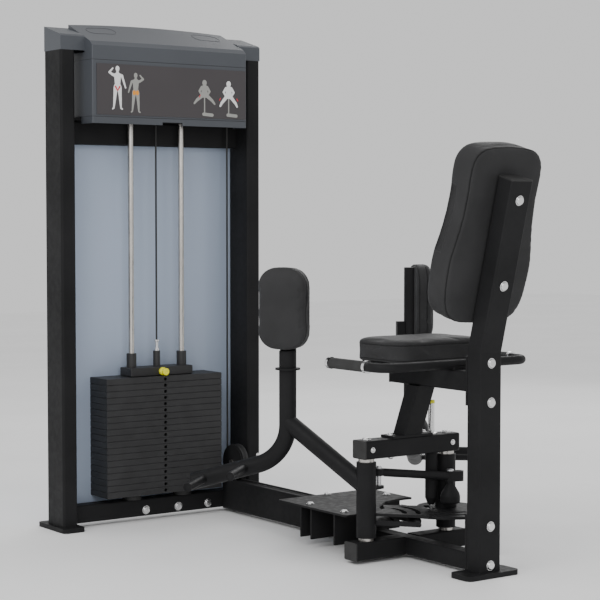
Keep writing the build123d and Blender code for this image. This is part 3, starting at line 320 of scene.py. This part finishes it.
def coat_with_pin(name, colour, low, axis, limit, above):
    """Powder coat whose pin, higher than low and past a limit along one axis, is plated."""
    material = powder_coat(name, colour)
    tree = material.node_tree
    shader = tree.nodes["Principled BSDF"]
    coords = next(n for n in tree.nodes if n.type == "TEX_COORD")
    parts = tree.nodes.new("ShaderNodeSeparateXYZ")
    tree.links.new(coords.outputs["Object"], parts.inputs["Vector"])
    tests = []
    for output, value, greater in (("Z", low, True), (axis, limit, above)):
        test = tree.nodes.new("ShaderNodeMath")
        test.operation = "GREATER_THAN" if greater else "LESS_THAN"
        test.inputs[1].default_value = value
        tree.links.new(parts.outputs[output], test.inputs[0])
        tests.append(test.outputs["Value"])
    both = tree.nodes.new("ShaderNodeMath")
    both.operation = "MULTIPLY"
    tree.links.new(tests[0], both.inputs[0])
    tree.links.new(tests[1], both.inputs[1])
    plated = tree.nodes.new("ShaderNodeMixRGB")
    plated.inputs["Color2"].default_value = (0.75, 0.75, 0.76, 1.0)
    tree.links.new(both.outputs["Value"], plated.inputs["Fac"])
    tree.links.new(shader.inputs["Base Color"].links[0].from_socket, plated.inputs["Color1"])
    tree.links.new(plated.outputs["Color"], shader.inputs["Base Color"])
    tree.links.new(both.outputs["Value"], shader.inputs["Metallic"])
    return material


def floor_paint():
    """Pale studio floor with barely visible mottling."""
    material, tree, shader, where = start_material("floor_paint", (0.90, 0.90, 0.90), 0.8)
    clouds = noise(tree, where, 1.5, 3.0)
    shade = two_colours(tree, clouds, (0.93, 0.93, 0.93), (0.97, 0.97, 0.97))
    tree.links.new(shade, shader.inputs["Base Color"])
    bump(tree, shader, noise(tree, where, 200.0, 2.0), 0.03, 0.0005)
    return material


PAINT = (0.0155, 0.0155, 0.0162)
SLATE = (0.058, 0.064, 0.075)
VINYL = (0.033, 0.033, 0.034)
STEEL = (0.60, 0.58, 0.55)
YELLOW = (0.86, 0.82, 0.01)

black_coat = powder_coat("black_powder_coat", PAINT)
hood_plastic = moulded_plastic("slate_hood_plastic", SLATE)
placard_film = moulded_plastic("placard_film", (0.048, 0.042, 0.045), 0.35, 2600.0, 0.08)
pad_vinyl = vinyl("pad_vinyl", VINYL)
stack_iron = coated_iron("stack_iron", (0.020, 0.020, 0.021))
guide_steel = brushed_metal("guide_rod_steel", STEEL)
shaft_steel = brushed_metal("shaft_steel", shade_of(STEEL, 0.9), 0.3, (1.0, 1.0, 3.0), 500.0)
bolt_steel = bright_metal("bolt_steel", (0.78, 0.78, 0.78), 0.22)
chrome = bright_metal("chrome_plate", (0.80, 0.80, 0.81), 0.1)
dark_rubber = rubber("dark_rubber", (0.018, 0.018, 0.018))
grip_rubber = rubber("grip_foam", (0.022, 0.022, 0.022), 0.7, 500.0)
cable_jacket = rubber("cable_jacket", (0.015, 0.015, 0.015), 0.5, 1200.0)
pulley_nylon = moulded_plastic("pulley_nylon", (0.022, 0.022, 0.023), 0.5, 900.0, 0.3)
# The panel's base colour is set lighter than the sheet's own tone: painted light in place of the light that comes
# through the frosted sheet from behind and the shade of the stack.
panel_sheet_painted_light = frosted_panel("frosted_panel", (0.39, 0.46, 0.58))
# The welts' vinyl is the pad vinyl at 0.45 of its tone: painted shade along the seam creases.
welt_vinyl_painted_shade = vinyl("welt_vinyl_painted_shade", shade_of(VINYL, 0.45), 0.5)
# Slate darkened to 0.35 for the groove lines: painted shade where the hood's seams and recesses hold shade.
groove_shade = moulded_plastic("hood_groove_painted_shade", shade_of(SLATE, 0.35), 0.6, 1400.0, 0.1)
print_white = moulded_plastic("print_white", (0.80, 0.80, 0.80), 0.5, 2600.0, 0.04)
print_grey = moulded_plastic("print_grey", (0.32, 0.32, 0.30), 0.5, 2600.0, 0.04)
print_red = moulded_plastic("print_red", (0.62, 0.03, 0.05), 0.5, 2600.0, 0.04)
print_orange = moulded_plastic("print_orange", (0.80, 0.30, 0.02), 0.5, 2600.0, 0.04)
stack_pin = split_metal("selector_pin_finish", STEEL, YELLOW, "Y", 1.2602, False)
limit_pin = split_metal("travel_pin_finish", (0.75, 0.75, 0.75), YELLOW, "Z", 0.4412, True)

left_hub_coat = coat_with_pin("left_hub_coat", PAINT, 0.2132, "X", -0.116, True)
right_hub_coat = coat_with_pin("right_hub_coat", PAINT, 0.2128, "Y", 0.305, False)

FINISH = {
    "frame_paint": black_coat,
    "hood_plastic": hood_plastic,
    "placard_film": placard_film,
    "vinyl": pad_vinyl,
    "plate_iron": stack_iron,
    "rod_steel": guide_steel,
    "bolt_steel": bolt_steel,
    "chrome": chrome,
    "rubber": dark_rubber,
    "panel_plastic": panel_sheet_painted_light,
    "pulley_nylon": pulley_nylon,
    "cable_jacket": cable_jacket,
    "grip_foam": grip_rubber,
}
OWN_FINISH = {
    "selector_pin": stack_pin,
    "travel_pin": limit_pin,
    "left_arm_hub": left_hub_coat,
    "right_arm_hub": right_hub_coat,
    "pivot_shafts": shaft_steel,
    "pulley_axles": shaft_steel,
}


def finish_nodes():
    """Gives every CAD node its material, by its slot in the record."""
    slots = {row["node"]: row["material_slot"] for row in frame["record"]["subparts"]}
    for name, node in frame["nodes"].items():
        material = OWN_FINISH.get(name) or FINISH[slots[name]]
        for place in node.material_slots:
            place.link = "OBJECT"
            place.material = material


# ---- mesh helpers ----


def mesh_piece(name, points, faces, material, body, smooth=True):
    """A mesh object in the row frame that rides on a body."""
    data = bpy.data.meshes.new(name)
    data.from_pydata([tuple(p) for p in points], [], faces)
    data.validate()
    data.update()
    piece = bpy.data.objects.new(name, data)
    bpy.context.collection.objects.link(piece)
    piece.data.materials.append(material)
    for face in data.polygons:
        face.use_smooth = smooth
    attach(piece, body)
    return piece


def rounded_rectangle(width, height, radius, steps=10):
    """Outline points of a rectangle with round corners, anticlockwise about its middle."""
    points = []
    for corner in range(4):
        cx = (width / 2 - radius) * (1 if corner in (0, 3) else -1)
        cy = (height / 2 - radius) * (1 if corner in (0, 1) else -1)
        for i in range(steps + 1):
            t = pi / 2 * (corner + i / steps)
            points.append((cx + radius * cos(t), cy + radius * sin(t)))
    return points


def evenly(points, gap):
    """The closed outline sampled again at an even gap."""
    closed = [Vector(p) for p in points] + [Vector(points[0])]
    lengths = [(b - a).length for a, b in zip(closed, closed[1:])]
    total = sum(lengths)
    count = max(12, round(total / gap))
    result = []
    index = 0
    passed = 0.0
    for i in range(count):
        target = total * i / count
        while passed + lengths[index] < target:
            passed += lengths[index]
            index += 1
        share = (target - passed) / lengths[index]
        result.append(closed[index].lerp(closed[index + 1], share))
    return result


def tube_mesh(path, radius, closed=True, sides=8):
    """Points and faces of a round tube along a path."""
    points = []
    faces = []
    count = len(path)
    last_side = None
    for i, p in enumerate(path):
        after = path[(i + 1) % count] if closed or i < count - 1 else p
        before = path[i - 1] if closed or i > 0 else p
        along = (after - before).normalized()
        side = last_side if last_side is not None else along.orthogonal()
        side = (side - along * side.dot(along)).normalized()
        last_side = side
        up = along.cross(side)
        for k in range(sides):
            t = 2 * pi * k / sides
            points.append(p + (side * cos(t) + up * sin(t)) * radius)
    rings = count if closed else count - 1
    for i in range(rings):
        for k in range(sides):
            a = i * sides + k
            b = i * sides + (k + 1) % sides
            c = ((i + 1) % count) * sides + (k + 1) % sides
            d = ((i + 1) % count) * sides + k
            faces.append((a, b, c, d))
    if not closed:
        faces.append(tuple(reversed(range(sides))))
        faces.append(tuple(range((count - 1) * sides, count * sides)))
    return points, faces


# ---- cushions ----

OUTLINE_GAP = 6 * MM
VOXEL = 5 * MM
SWELL_FRAMES = 20
SWELL_PRESSURE = 4.0
SWELL_CAP = 5 * MM
SEAM_WIDTH = 2.6 * MM
SEAM_STEP = 3 * MM
COVER_SLACK = 2.5 * MM


def cushion_form(outline, thick, front_round, back_round, crown, waist):
    """Closed cushion form over an outline: flat back, waisted sides and a crowned front."""
    centre = sum((Vector(p) for p in outline), Vector((0, 0))) / len(outline)
    profile = [(back_round * (1 - sin(t)), back_round * (1 - cos(t))) for t in (0.0, 0.5, 1.05, pi / 2)]
    for share in (0.25, 0.5, 0.75):
        height = back_round + (thick - front_round - back_round) * share
        profile.append((waist * sin(pi * share), height))
    for t in (0.0, 0.4, 0.8, 1.2, pi / 2):
        profile.append((front_round * (1 - cos(t)), thick - front_round * (1 - sin(t))))
    points = []
    faces = []
    count = len(outline)
    for inset, height in profile:
        for p in outline:
            ray = Vector(p) - centre
            at = centre + ray * (1 - inset / ray.length)
            points.append(Vector((at.x, at.y, height)))
    inner = (0.85, 0.65, 0.42, 0.2)
    for share in inner:
        for p in outline:
            ray = Vector(p) - centre
            at = centre + ray * (1 - front_round / ray.length) * share
            points.append(Vector((at.x, at.y, thick + crown * (1 - share ** 2.4))))
    rings = len(profile) + len(inner)
    for r in range(rings - 1):
        for i in range(count):
            j = (i + 1) % count
            faces.append((r * count + i, r * count + j, (r + 1) * count + j, (r + 1) * count + i))
    points.append(Vector((centre.x, centre.y, thick + crown)))
    top = len(points) - 1
    points.append(Vector((centre.x, centre.y, 0)))
    bottom = len(points) - 1
    for i in range(count):
        j = (i + 1) % count
        faces.append(((rings - 1) * count + i, (rings - 1) * count + j, top))
        faces.append((j, i, bottom))
    return points, faces


def bake(piece):
    """Replaces the piece's mesh with its mesh after modifiers, and removes the modifiers."""
    graph = bpy.context.evaluated_depsgraph_get()
    graph.update()
    data = bpy.data.meshes.new_from_object(piece.evaluated_get(graph))
    piece.modifiers.clear()
    piece.data = data


def swell(piece, cap):
    """Remeshes the cushion evenly and lets its cover swell over the foam, by no more than cap."""
    remesh = piece.modifiers.new("even", "REMESH")
    remesh.mode = "VOXEL"
    remesh.voxel_size = VOXEL
    bake(piece)
    before = [v.co.copy() for v in piece.data.vertices]
    cloth = piece.modifiers.new("cover", "CLOTH")
    cloth.settings.use_pressure = True
    cloth.settings.uniform_pressure_force = SWELL_PRESSURE
    cloth.settings.effector_weights.gravity = 0
    cloth.point_cache.frame_start = 1
    cloth.point_cache.frame_end = SWELL_FRAMES
    scene = bpy.context.scene
    for number in range(1, SWELL_FRAMES + 1):
        scene.frame_set(number)
    bake(piece)
    scene.frame_set(1)
    for vertex, start in zip(piece.data.vertices, before):
        move = vertex.co - start
        if move.length > cap:
            vertex.co = start + move * (cap / move.length)
    for vertex in piece.data.vertices:
        vertex.co.z = max(vertex.co.z, 0.0)
    finer = piece.modifiers.new("finer", "SUBSURF")
    finer.levels = 1
    finer.render_levels = 1
    bake(piece)


def press_seam(piece, path, depth, width):
    """Draws the cover in along a seam."""
    tree = KDTree(len(path))
    for i, p in enumerate(path):
        tree.insert(p, i)
    tree.balance()
    normals = [v.normal.copy() for v in piece.data.vertices]
    for vertex, normal in zip(piece.data.vertices, normals):
        gap = tree.find(vertex.co)[2]
        if gap < 3 * width:
            vertex.co -= normal * depth * exp(-((gap / width) ** 2))


def on_cover(piece, path):
    """The path moved onto the nearest points of the cover."""
    return [piece.closest_point_on_mesh(p)[1] for p in path]


def seam_path(outline, inset, height):
    """A seam that follows the outline at a height, set in by inset."""
    centre = sum((Vector(p) for p in outline), Vector((0, 0))) / len(outline)
    path = []
    for p in evenly(outline, SEAM_STEP):
        ray = p - centre
        at = centre + ray * (1 - inset / ray.length)
        path.append(Vector((at.x, at.y, height)))
    return path


def make_cushion(name, outline, place, body, node, thick, crown, front_round, back_round, waist,
                 seams, shape=None):
    """One upholstered cushion with its welts, placed by a matrix whose third axis is its front.

    Each seam is its inset, its height, its welt's radius and the depth that it is drawn in.
    """
    dense = evenly(outline, OUTLINE_GAP)
    points, faces = cushion_form(dense, thick, front_round, back_round, crown, waist)
    data = bpy.data.meshes.new(name)
    data.from_pydata([tuple(p) for p in points], [], faces)
    piece = bpy.data.objects.new(name, data)
    bpy.context.collection.objects.link(piece)
    swell(piece, SWELL_CAP)
    if shape is not None:
        shape(piece)
    welts = []
    for number, (inset, height, radius, depth) in enumerate(seams):
        path = on_cover(piece, seam_path(outline, inset, height))
        press_seam(piece, path, depth, SEAM_WIDTH)
        sunk = on_cover(piece, path)
        welt_points, welt_faces = tube_mesh(sunk, radius)
        welts.append((f"{name}_welt_{number + 1}", welt_points, welt_faces))
    piece.data.materials.clear()
    piece.data.materials.append(pad_vinyl)
    for face in piece.data.polygons:
        face.use_smooth = True
    piece.data.transform(place)
    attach(piece, body)
    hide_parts(node)
    for welt_name, welt_points, welt_faces in welts:
        placed = [place @ p for p in welt_points]
        # The welts take the darker vinyl, painted shade along the seams.
        mesh_piece(welt_name, placed, welt_faces, welt_vinyl_painted_shade, body)


def axes_matrix(origin, u, v, w):
    """Matrix from a cushion's own axes to the row frame."""
    matrix = Matrix((u, v, w)).transposed().to_4x4()
    matrix.translation = Vector(origin)
    return matrix


SEAT_CORNER = 50 * MM
SEAT_CROWN = 4 * MM
SEAT_TOP_GAP = 3 * MM


def make_seat():
    """The seat cushion: a firm block with a slight crown and a welt round its top and bottom."""
    low, high = (Vector(c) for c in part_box("seat_pad"))
    size = high - low
    slack = COVER_SLACK
    outline = rounded_rectangle(size.x - 2 * slack, size.y - 2 * slack, SEAT_CORNER - slack)
    origin = ((low.x + high.x) / 2, (low.y + high.y) / 2, low.z)
    place = axes_matrix(origin, (1, 0, 0), (0, 1, 0), (0, 0, 1))
    thick = size.z - SEAT_TOP_GAP
    seams = ((0, 7 * MM, 1.6 * MM, 1.5 * MM), (0, thick - 9 * MM, 1.5 * MM, 1.2 * MM))
    make_cushion("seat_cushion", outline, place, "frame", "seat_pad", thick=thick, crown=SEAT_CROWN,
                 front_round=9 * MM, back_round=4 * MM, waist=1.5 * MM, seams=seams)


PAD_ANGLE = radians(28)
PAD_WIDTH = 166 * MM
PAD_CORNER = 60 * MM
PAD_THICK = 47 * MM
PAD_GAP = 1.5 * MM


def make_thigh_pads():
    """The two thigh pads on their swivel posts."""
    for side, name in ((-1, "left"), (1, "right")):
        joint = next(j for j in frame["joints"] if j["name"] == name + "_pad_swivel")
        axis = Vector(joint["pos_m"])
        low, high = (Vector(c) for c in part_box(name + "_thigh_pad"))
        front = Vector((side * cos(PAD_ANGLE), -sin(PAD_ANGLE), 0))
        across = Vector((0, 0, 1)).cross(front)
        height = high.z - low.z - 2 * COVER_SLACK
        width = PAD_WIDTH - 2 * COVER_SLACK
        outline = rounded_rectangle(width, height, PAD_CORNER)
        origin = Vector((axis.x, axis.y, (low.z + high.z) / 2)) + front * PAD_GAP
        place = axes_matrix(origin, across, (0, 0, 1), front)
        seams = ((0, 5 * MM, 1.6 * MM, 1.2 * MM), (0, 31 * MM, 1.5 * MM, 1.6 * MM))
        make_cushion(name + "_thigh_cushion", outline, place, name + "_pad", name + "_thigh_pad",
                     thick=PAD_THICK, crown=5 * MM, front_round=13 * MM, back_round=5 * MM, waist=1.0 * MM,
                     seams=seams)


POST_TILT = radians(14.5)
POST_BEND = Vector((0, -27 * MM, 617 * MM))
BACK_OFFSET = 62 * MM
BACK_THICK = 87 * MM
BACK_SIDE = [(98, 67), (128, 88), (145, 126), (152, 190), (152, 246), (141, 300), (132, 355), (128, 420),
             (130, 480), (124, 528), (92, 556)]
SLOT_LOW = 248 * MM
SLOT_HIGH = 446 * MM
GRIP_DEPTH = 11 * MM
GRIP_BACK = 50 * MM
GRIP_FRONT = 79 * MM
GRIP_STEPS = 24
GRIP_RUN_IN = (0.35, 0.75, 1.0)
CUTTER_WIDTH = 60 * MM


def backrest_outline():
    """Waisted outline, wide and round at the bottom, narrower at the top."""
    right = [(x * MM, s * MM) for x, s in BACK_SIDE]
    top = [(50 * MM, 561 * MM), (0, 564 * MM), (-50 * MM, 561 * MM)]
    left = [(-x, s) for x, s in reversed(right)]
    bottom = [(-50 * MM, 62 * MM), (0, 60 * MM), (50 * MM, 62 * MM)]
    coarse = [Vector(p) for p in right + top + left + bottom]
    for _ in range(3):
        finer = []
        for a, b in zip(coarse, coarse[1:] + coarse[:1]):
            finer.append(a.lerp(b, 0.25))
            finer.append(a.lerp(b, 0.75))
        coarse = finer
    return [tuple(p) for p in coarse]


def side_half_width(s):
    """Half the backrest's width at a height."""
    for (x0, s0), (x1, s1) in zip(BACK_SIDE, BACK_SIDE[1:]):
        if s0 * MM <= s <= s1 * MM:
            return (x0 + (x1 - x0) * (s / MM - s0) / (s1 - s0)) * MM
    return BACK_SIDE[-1][0] * MM


def cut_side_grips(piece):
    """Cuts a long shallow hand recess into each side of the backrest, near its front."""
    for side in (-1, 1):
        points = []
        faces = []
        for i in range(GRIP_STEPS + 1):
            s = SLOT_LOW + (SLOT_HIGH - SLOT_LOW) * i / GRIP_STEPS
            end = min(i, GRIP_STEPS - i)
            inner = side_half_width(s) - GRIP_DEPTH * GRIP_RUN_IN[min(end, 2)]
            outer = inner + CUTTER_WIDTH
            for x, w in ((inner, GRIP_BACK), (inner, GRIP_FRONT), (outer, GRIP_FRONT), (outer, GRIP_BACK)):
                points.append((side * x, s, w))
        for i in range(GRIP_STEPS):
            for k in range(4):
                a = i * 4 + k
                b = i * 4 + (k + 1) % 4
                faces.append((a, b, b + 4, a + 4))
        faces.append((3, 2, 1, 0))
        faces.append(tuple(GRIP_STEPS * 4 + k for k in range(4)))
        if side < 0:
            faces = [face[::-1] for face in faces]
        data = bpy.data.meshes.new("grip_cutter")
        data.from_pydata(points, [], faces)
        cutter = bpy.data.objects.new("grip_cutter", data)
        bpy.context.collection.objects.link(cutter)
        cut = piece.modifiers.new("grip", "BOOLEAN")
        cut.operation = "DIFFERENCE"
        cut.solver = "EXACT"
        cut.object = cutter
        bake(piece)
        bpy.data.objects.remove(cutter)


def make_backrest():
    """The backrest cushion in front of the tilted post."""
    up = Vector((0, -sin(POST_TILT), cos(POST_TILT)))
    front = Vector((0, cos(POST_TILT), sin(POST_TILT)))
    place = axes_matrix(POST_BEND + front * BACK_OFFSET, (-1, 0, 0), up, front)
    seams = ((0, 5 * MM, 2.2 * MM, 2.0 * MM),)
    make_cushion("backrest_cushion", backrest_outline(), place, "frame", "backrest_pad",
                 thick=BACK_THICK, crown=7 * MM, front_round=14 * MM, back_round=5 * MM, waist=1.5 * MM,
                 seams=seams, shape=cut_side_grips)


# ---- placard pictograms ----

FIGURE_RISE = 0.5 * MM
MARK_LIFT = 0.5 * MM
LAYER_STEP = 0.02 * MM


def capsule(a, b, radius, radius_b=None, steps=8):
    """Outline of a limb: two round ends joined by straight sides."""
    radius_b = radius if radius_b is None else radius_b
    a = Vector(a)
    b = Vector(b)
    turn = atan2((b - a).y, (b - a).x)
    points = []
    for centre, r, start in ((a, radius, turn + pi / 2), (b, radius_b, turn - pi / 2)):
        for i in range(steps + 1):
            t = start + pi * i / steps
            points.append(centre + Vector((cos(t), sin(t))) * r)
    return points


def ellipse(centre, rx, ry, steps=24):
    """Outline of an ellipse."""
    return [Vector((centre[0] + rx * cos(2 * pi * i / steps), centre[1] + ry * sin(2 * pi * i / steps)))
            for i in range(steps)]


def printed_shape(name, outlines, corner, size, material, lift=0.0):
    """Flat printed shapes, each a hair proud of the placard. Outlines are in units of size."""
    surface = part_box("placard")[0][1]
    points = []
    faces = []
    for number, outline in enumerate(outlines):
        rise = FIGURE_RISE + lift + number * LAYER_STEP
        first = len(points)
        count = len(outline)
        for depth in (0.0, rise):
            for p in outline:
                points.append((corner[0] + p[0] * size, surface - depth, corner[1] + p[1] * size))
        faces.append(tuple(range(first + count, first + 2 * count)))
        faces.append(tuple(reversed(range(first, first + count))))
        for i in range(count):
            j = (i + 1) % count
            faces.append((first + i, first + j, first + count + j, first + count + i))
    mesh_piece(name, points, faces, material, "frame", smooth=False)


def standing_figure(raised):
    """A plain standing figure one unit tall, with one arm raised to its head on one side."""
    return [
        ellipse((0, 0.93), 0.05, 0.066),
        capsule((0, 0.86), (0, 0.80), 0.032),
        capsule((-0.075, 0.775), (0.075, 0.775), 0.042),
        capsule((0, 0.76), (0, 0.56), 0.088, 0.066),
        capsule((-0.032, 0.52), (0.032, 0.52), 0.066),
        capsule((-0.05, 0.49), (-0.075, 0.27), 0.055, 0.034),
        capsule((-0.075, 0.27), (-0.10, 0.05), 0.037, 0.020),
        capsule((-0.10, 0.03), (-0.13, 0.012), 0.018),
        capsule((0.05, 0.49), (0.07, 0.27), 0.055, 0.034),
        capsule((0.07, 0.27), (0.085, 0.05), 0.037, 0.020),
        capsule((0.085, 0.03), (0.12, 0.012), 0.018),
        capsule((-raised * 0.115, 0.775), (-raised * 0.17, 0.62), 0.03, 0.024),
        capsule((-raised * 0.17, 0.62), (-raised * 0.21, 0.50), 0.024, 0.017),
        capsule((raised * 0.115, 0.785), (raised * 0.215, 0.84), 0.032, 0.025),
        capsule((raised * 0.215, 0.84), (raised * 0.125, 0.935), 0.025, 0.017),
    ]


def hip_mark():
    """The muscles that the exercise works, at the front of the hips."""
    return [capsule((side * 0.055, 0.52), (side * 0.008, 0.44), 0.020, 0.012) for side in (-1, 1)]


def seat_mark():
    """The muscles that the exercise works, at the back of the hips."""
    return [capsule((side * 0.045, 0.515), (side * 0.045, 0.475), 0.040) for side in (-1, 1)]


def seated_figure(spread, knee, foot):
    """A seated figure seen from the front, its thighs out to spread and its feet at foot."""
    shapes = [
        ellipse((0, 0.93), 0.072, 0.082),
        capsule((0, 0.80), (0, 0.62), 0.085, 0.105),
    ]
    for side in (-1, 1):
        shapes.append(capsule((side * 0.085, 0.81), (side * 0.165, 0.70), 0.040, 0.032))
        shapes.append(capsule((side * 0.165, 0.70), (side * 0.10, 0.60), 0.032, 0.026))
        shapes.append(capsule((side * 0.045, 0.60), (side * spread, knee), 0.056, 0.040))
        shapes.append(capsule((side * spread, knee), (side * foot, knee - 0.09), 0.040, 0.026))
    return shapes


def machine_sign():
    """The seat's post and foot under a seated figure."""
    return [capsule((0, 0.50), (0, 0.12), 0.018), capsule((-0.03, 0.07), (0.25, 0.05), 0.045)]


def push_marks(reach, height):
    """Two short strokes where the legs press."""
    return [capsule((side * reach, height + 0.03), (side * (reach + 0.035), height - 0.03), 0.011)
            for side in (-1, 1)]


def make_placard():
    """Two standing figures at the left and two seated ones at the right, with no words."""
    low, high = (Vector(c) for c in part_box("placard"))
    width = high.x - low.x
    bottom = low.z
    tall = high.z - low.z
    first = (low.x + width * 0.132, bottom + tall * 0.11)
    second = (low.x + width * 0.250, bottom + tall * 0.06)
    figure = tall * 0.86
    shorter = figure * 0.92
    printed_shape("figure_front", standing_figure(-1), first, figure, print_white)
    printed_shape("figure_front_mark", hip_mark(), first, figure, print_red, MARK_LIFT)
    printed_shape("figure_back", standing_figure(1), second, shorter, print_grey)
    printed_shape("figure_back_mark", seat_mark(), second, shorter, print_orange, MARK_LIFT)
    third = (low.x + width * 0.712, bottom + tall * 0.03)
    fourth = (low.x + width * 0.880, bottom + tall * 0.03)
    seated = tall * 0.74
    printed_shape("seated_apart", seated_figure(0.25, 0.45, 0.33), third, seated, print_grey)
    printed_shape("seated_apart_machine", machine_sign(), third, seated, print_grey)
    printed_shape("seated_apart_mark", push_marks(0.14, 0.56)[:1], third, seated, print_red, MARK_LIFT)
    printed_shape("seated_closed", seated_figure(0.23, 0.40, 0.28), fourth, seated, print_white)
    printed_shape("seated_closed_machine", machine_sign(), fourth, seated, print_grey)
    printed_shape("seated_closed_mark", push_marks(0.27, 0.50), fourth, seated, print_red, MARK_LIFT)


# ---- hood seams, drawn as lines of painted shade ----

GROOVE_RADIUS = 0.7 * MM
GROOVE_OUT = 0.2 * MM
HOOD_LEFT = -557 * MM
HOOD_RIGHT = 15.5 * MM
SEAM_DEPTH = 150 * MM
RECESS_SIZE = (101 * MM, 46 * MM, 22 * MM)
RECESS_X = (-467.5 * MM, -75 * MM)
RECESS_Y = 1300 * MM
OVERHEAD = 2.0


def hood_groove_painted_shade(name, path, closed=True):
    """A thin dark line that lies on the hood's skin: painted shade in place of the shade inside a groove."""
    points, faces = tube_mesh(path, GROOVE_RADIUS, closed, 6)
    mesh_piece(name, points, faces, groove_shade, "frame")


def drop_on(surface, x, y):
    """The point on the hood's skin straight below a place above it."""
    inverse = surface.matrix_world.inverted()
    start = inverse @ Vector((x, y, OVERHEAD))
    ahead = inverse.to_3x3() @ Vector((0, 0, -1))
    found, at, _, _ = surface.ray_cast(start, ahead)
    return surface.matrix_world @ at if found else None


def make_hood_seams():
    """Parting lines round the placard band and two long oval outlines for the shallow recesses on the hood's top,
    all drawn as dark lines of painted shade.
    """
    low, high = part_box("placard")
    front = high[1] - GROOVE_OUT
    back = high[1] + SEAM_DEPTH
    left = HOOD_LEFT - GROOVE_OUT
    right = HOOD_RIGHT + GROOVE_OUT
    for name, z in (("hood_seam_shade_low", low[2] - 6 * MM), ("hood_seam_shade_high", high[2] + 12 * MM)):
        corners = ((left, back, z), (left, front, z), (right, front, z), (right, back, z))
        hood_groove_painted_shade(name, [Vector(c) for c in corners], False)
    surface = frame["nodes"]["top_hood"]
    for number, middle in enumerate(RECESS_X):
        path = []
        for x, y in rounded_rectangle(*RECESS_SIZE):
            at = drop_on(surface, middle + x, RECESS_Y + y)
            if at is not None:
                path.append(at)
        hood_groove_painted_shade(f"hood_recess_shade_{number + 1}", path)


make_camera()
make_studio()
finish_nodes()
make_seat()
make_thigh_pads()
make_backrest()
make_placard()
make_hood_seams()
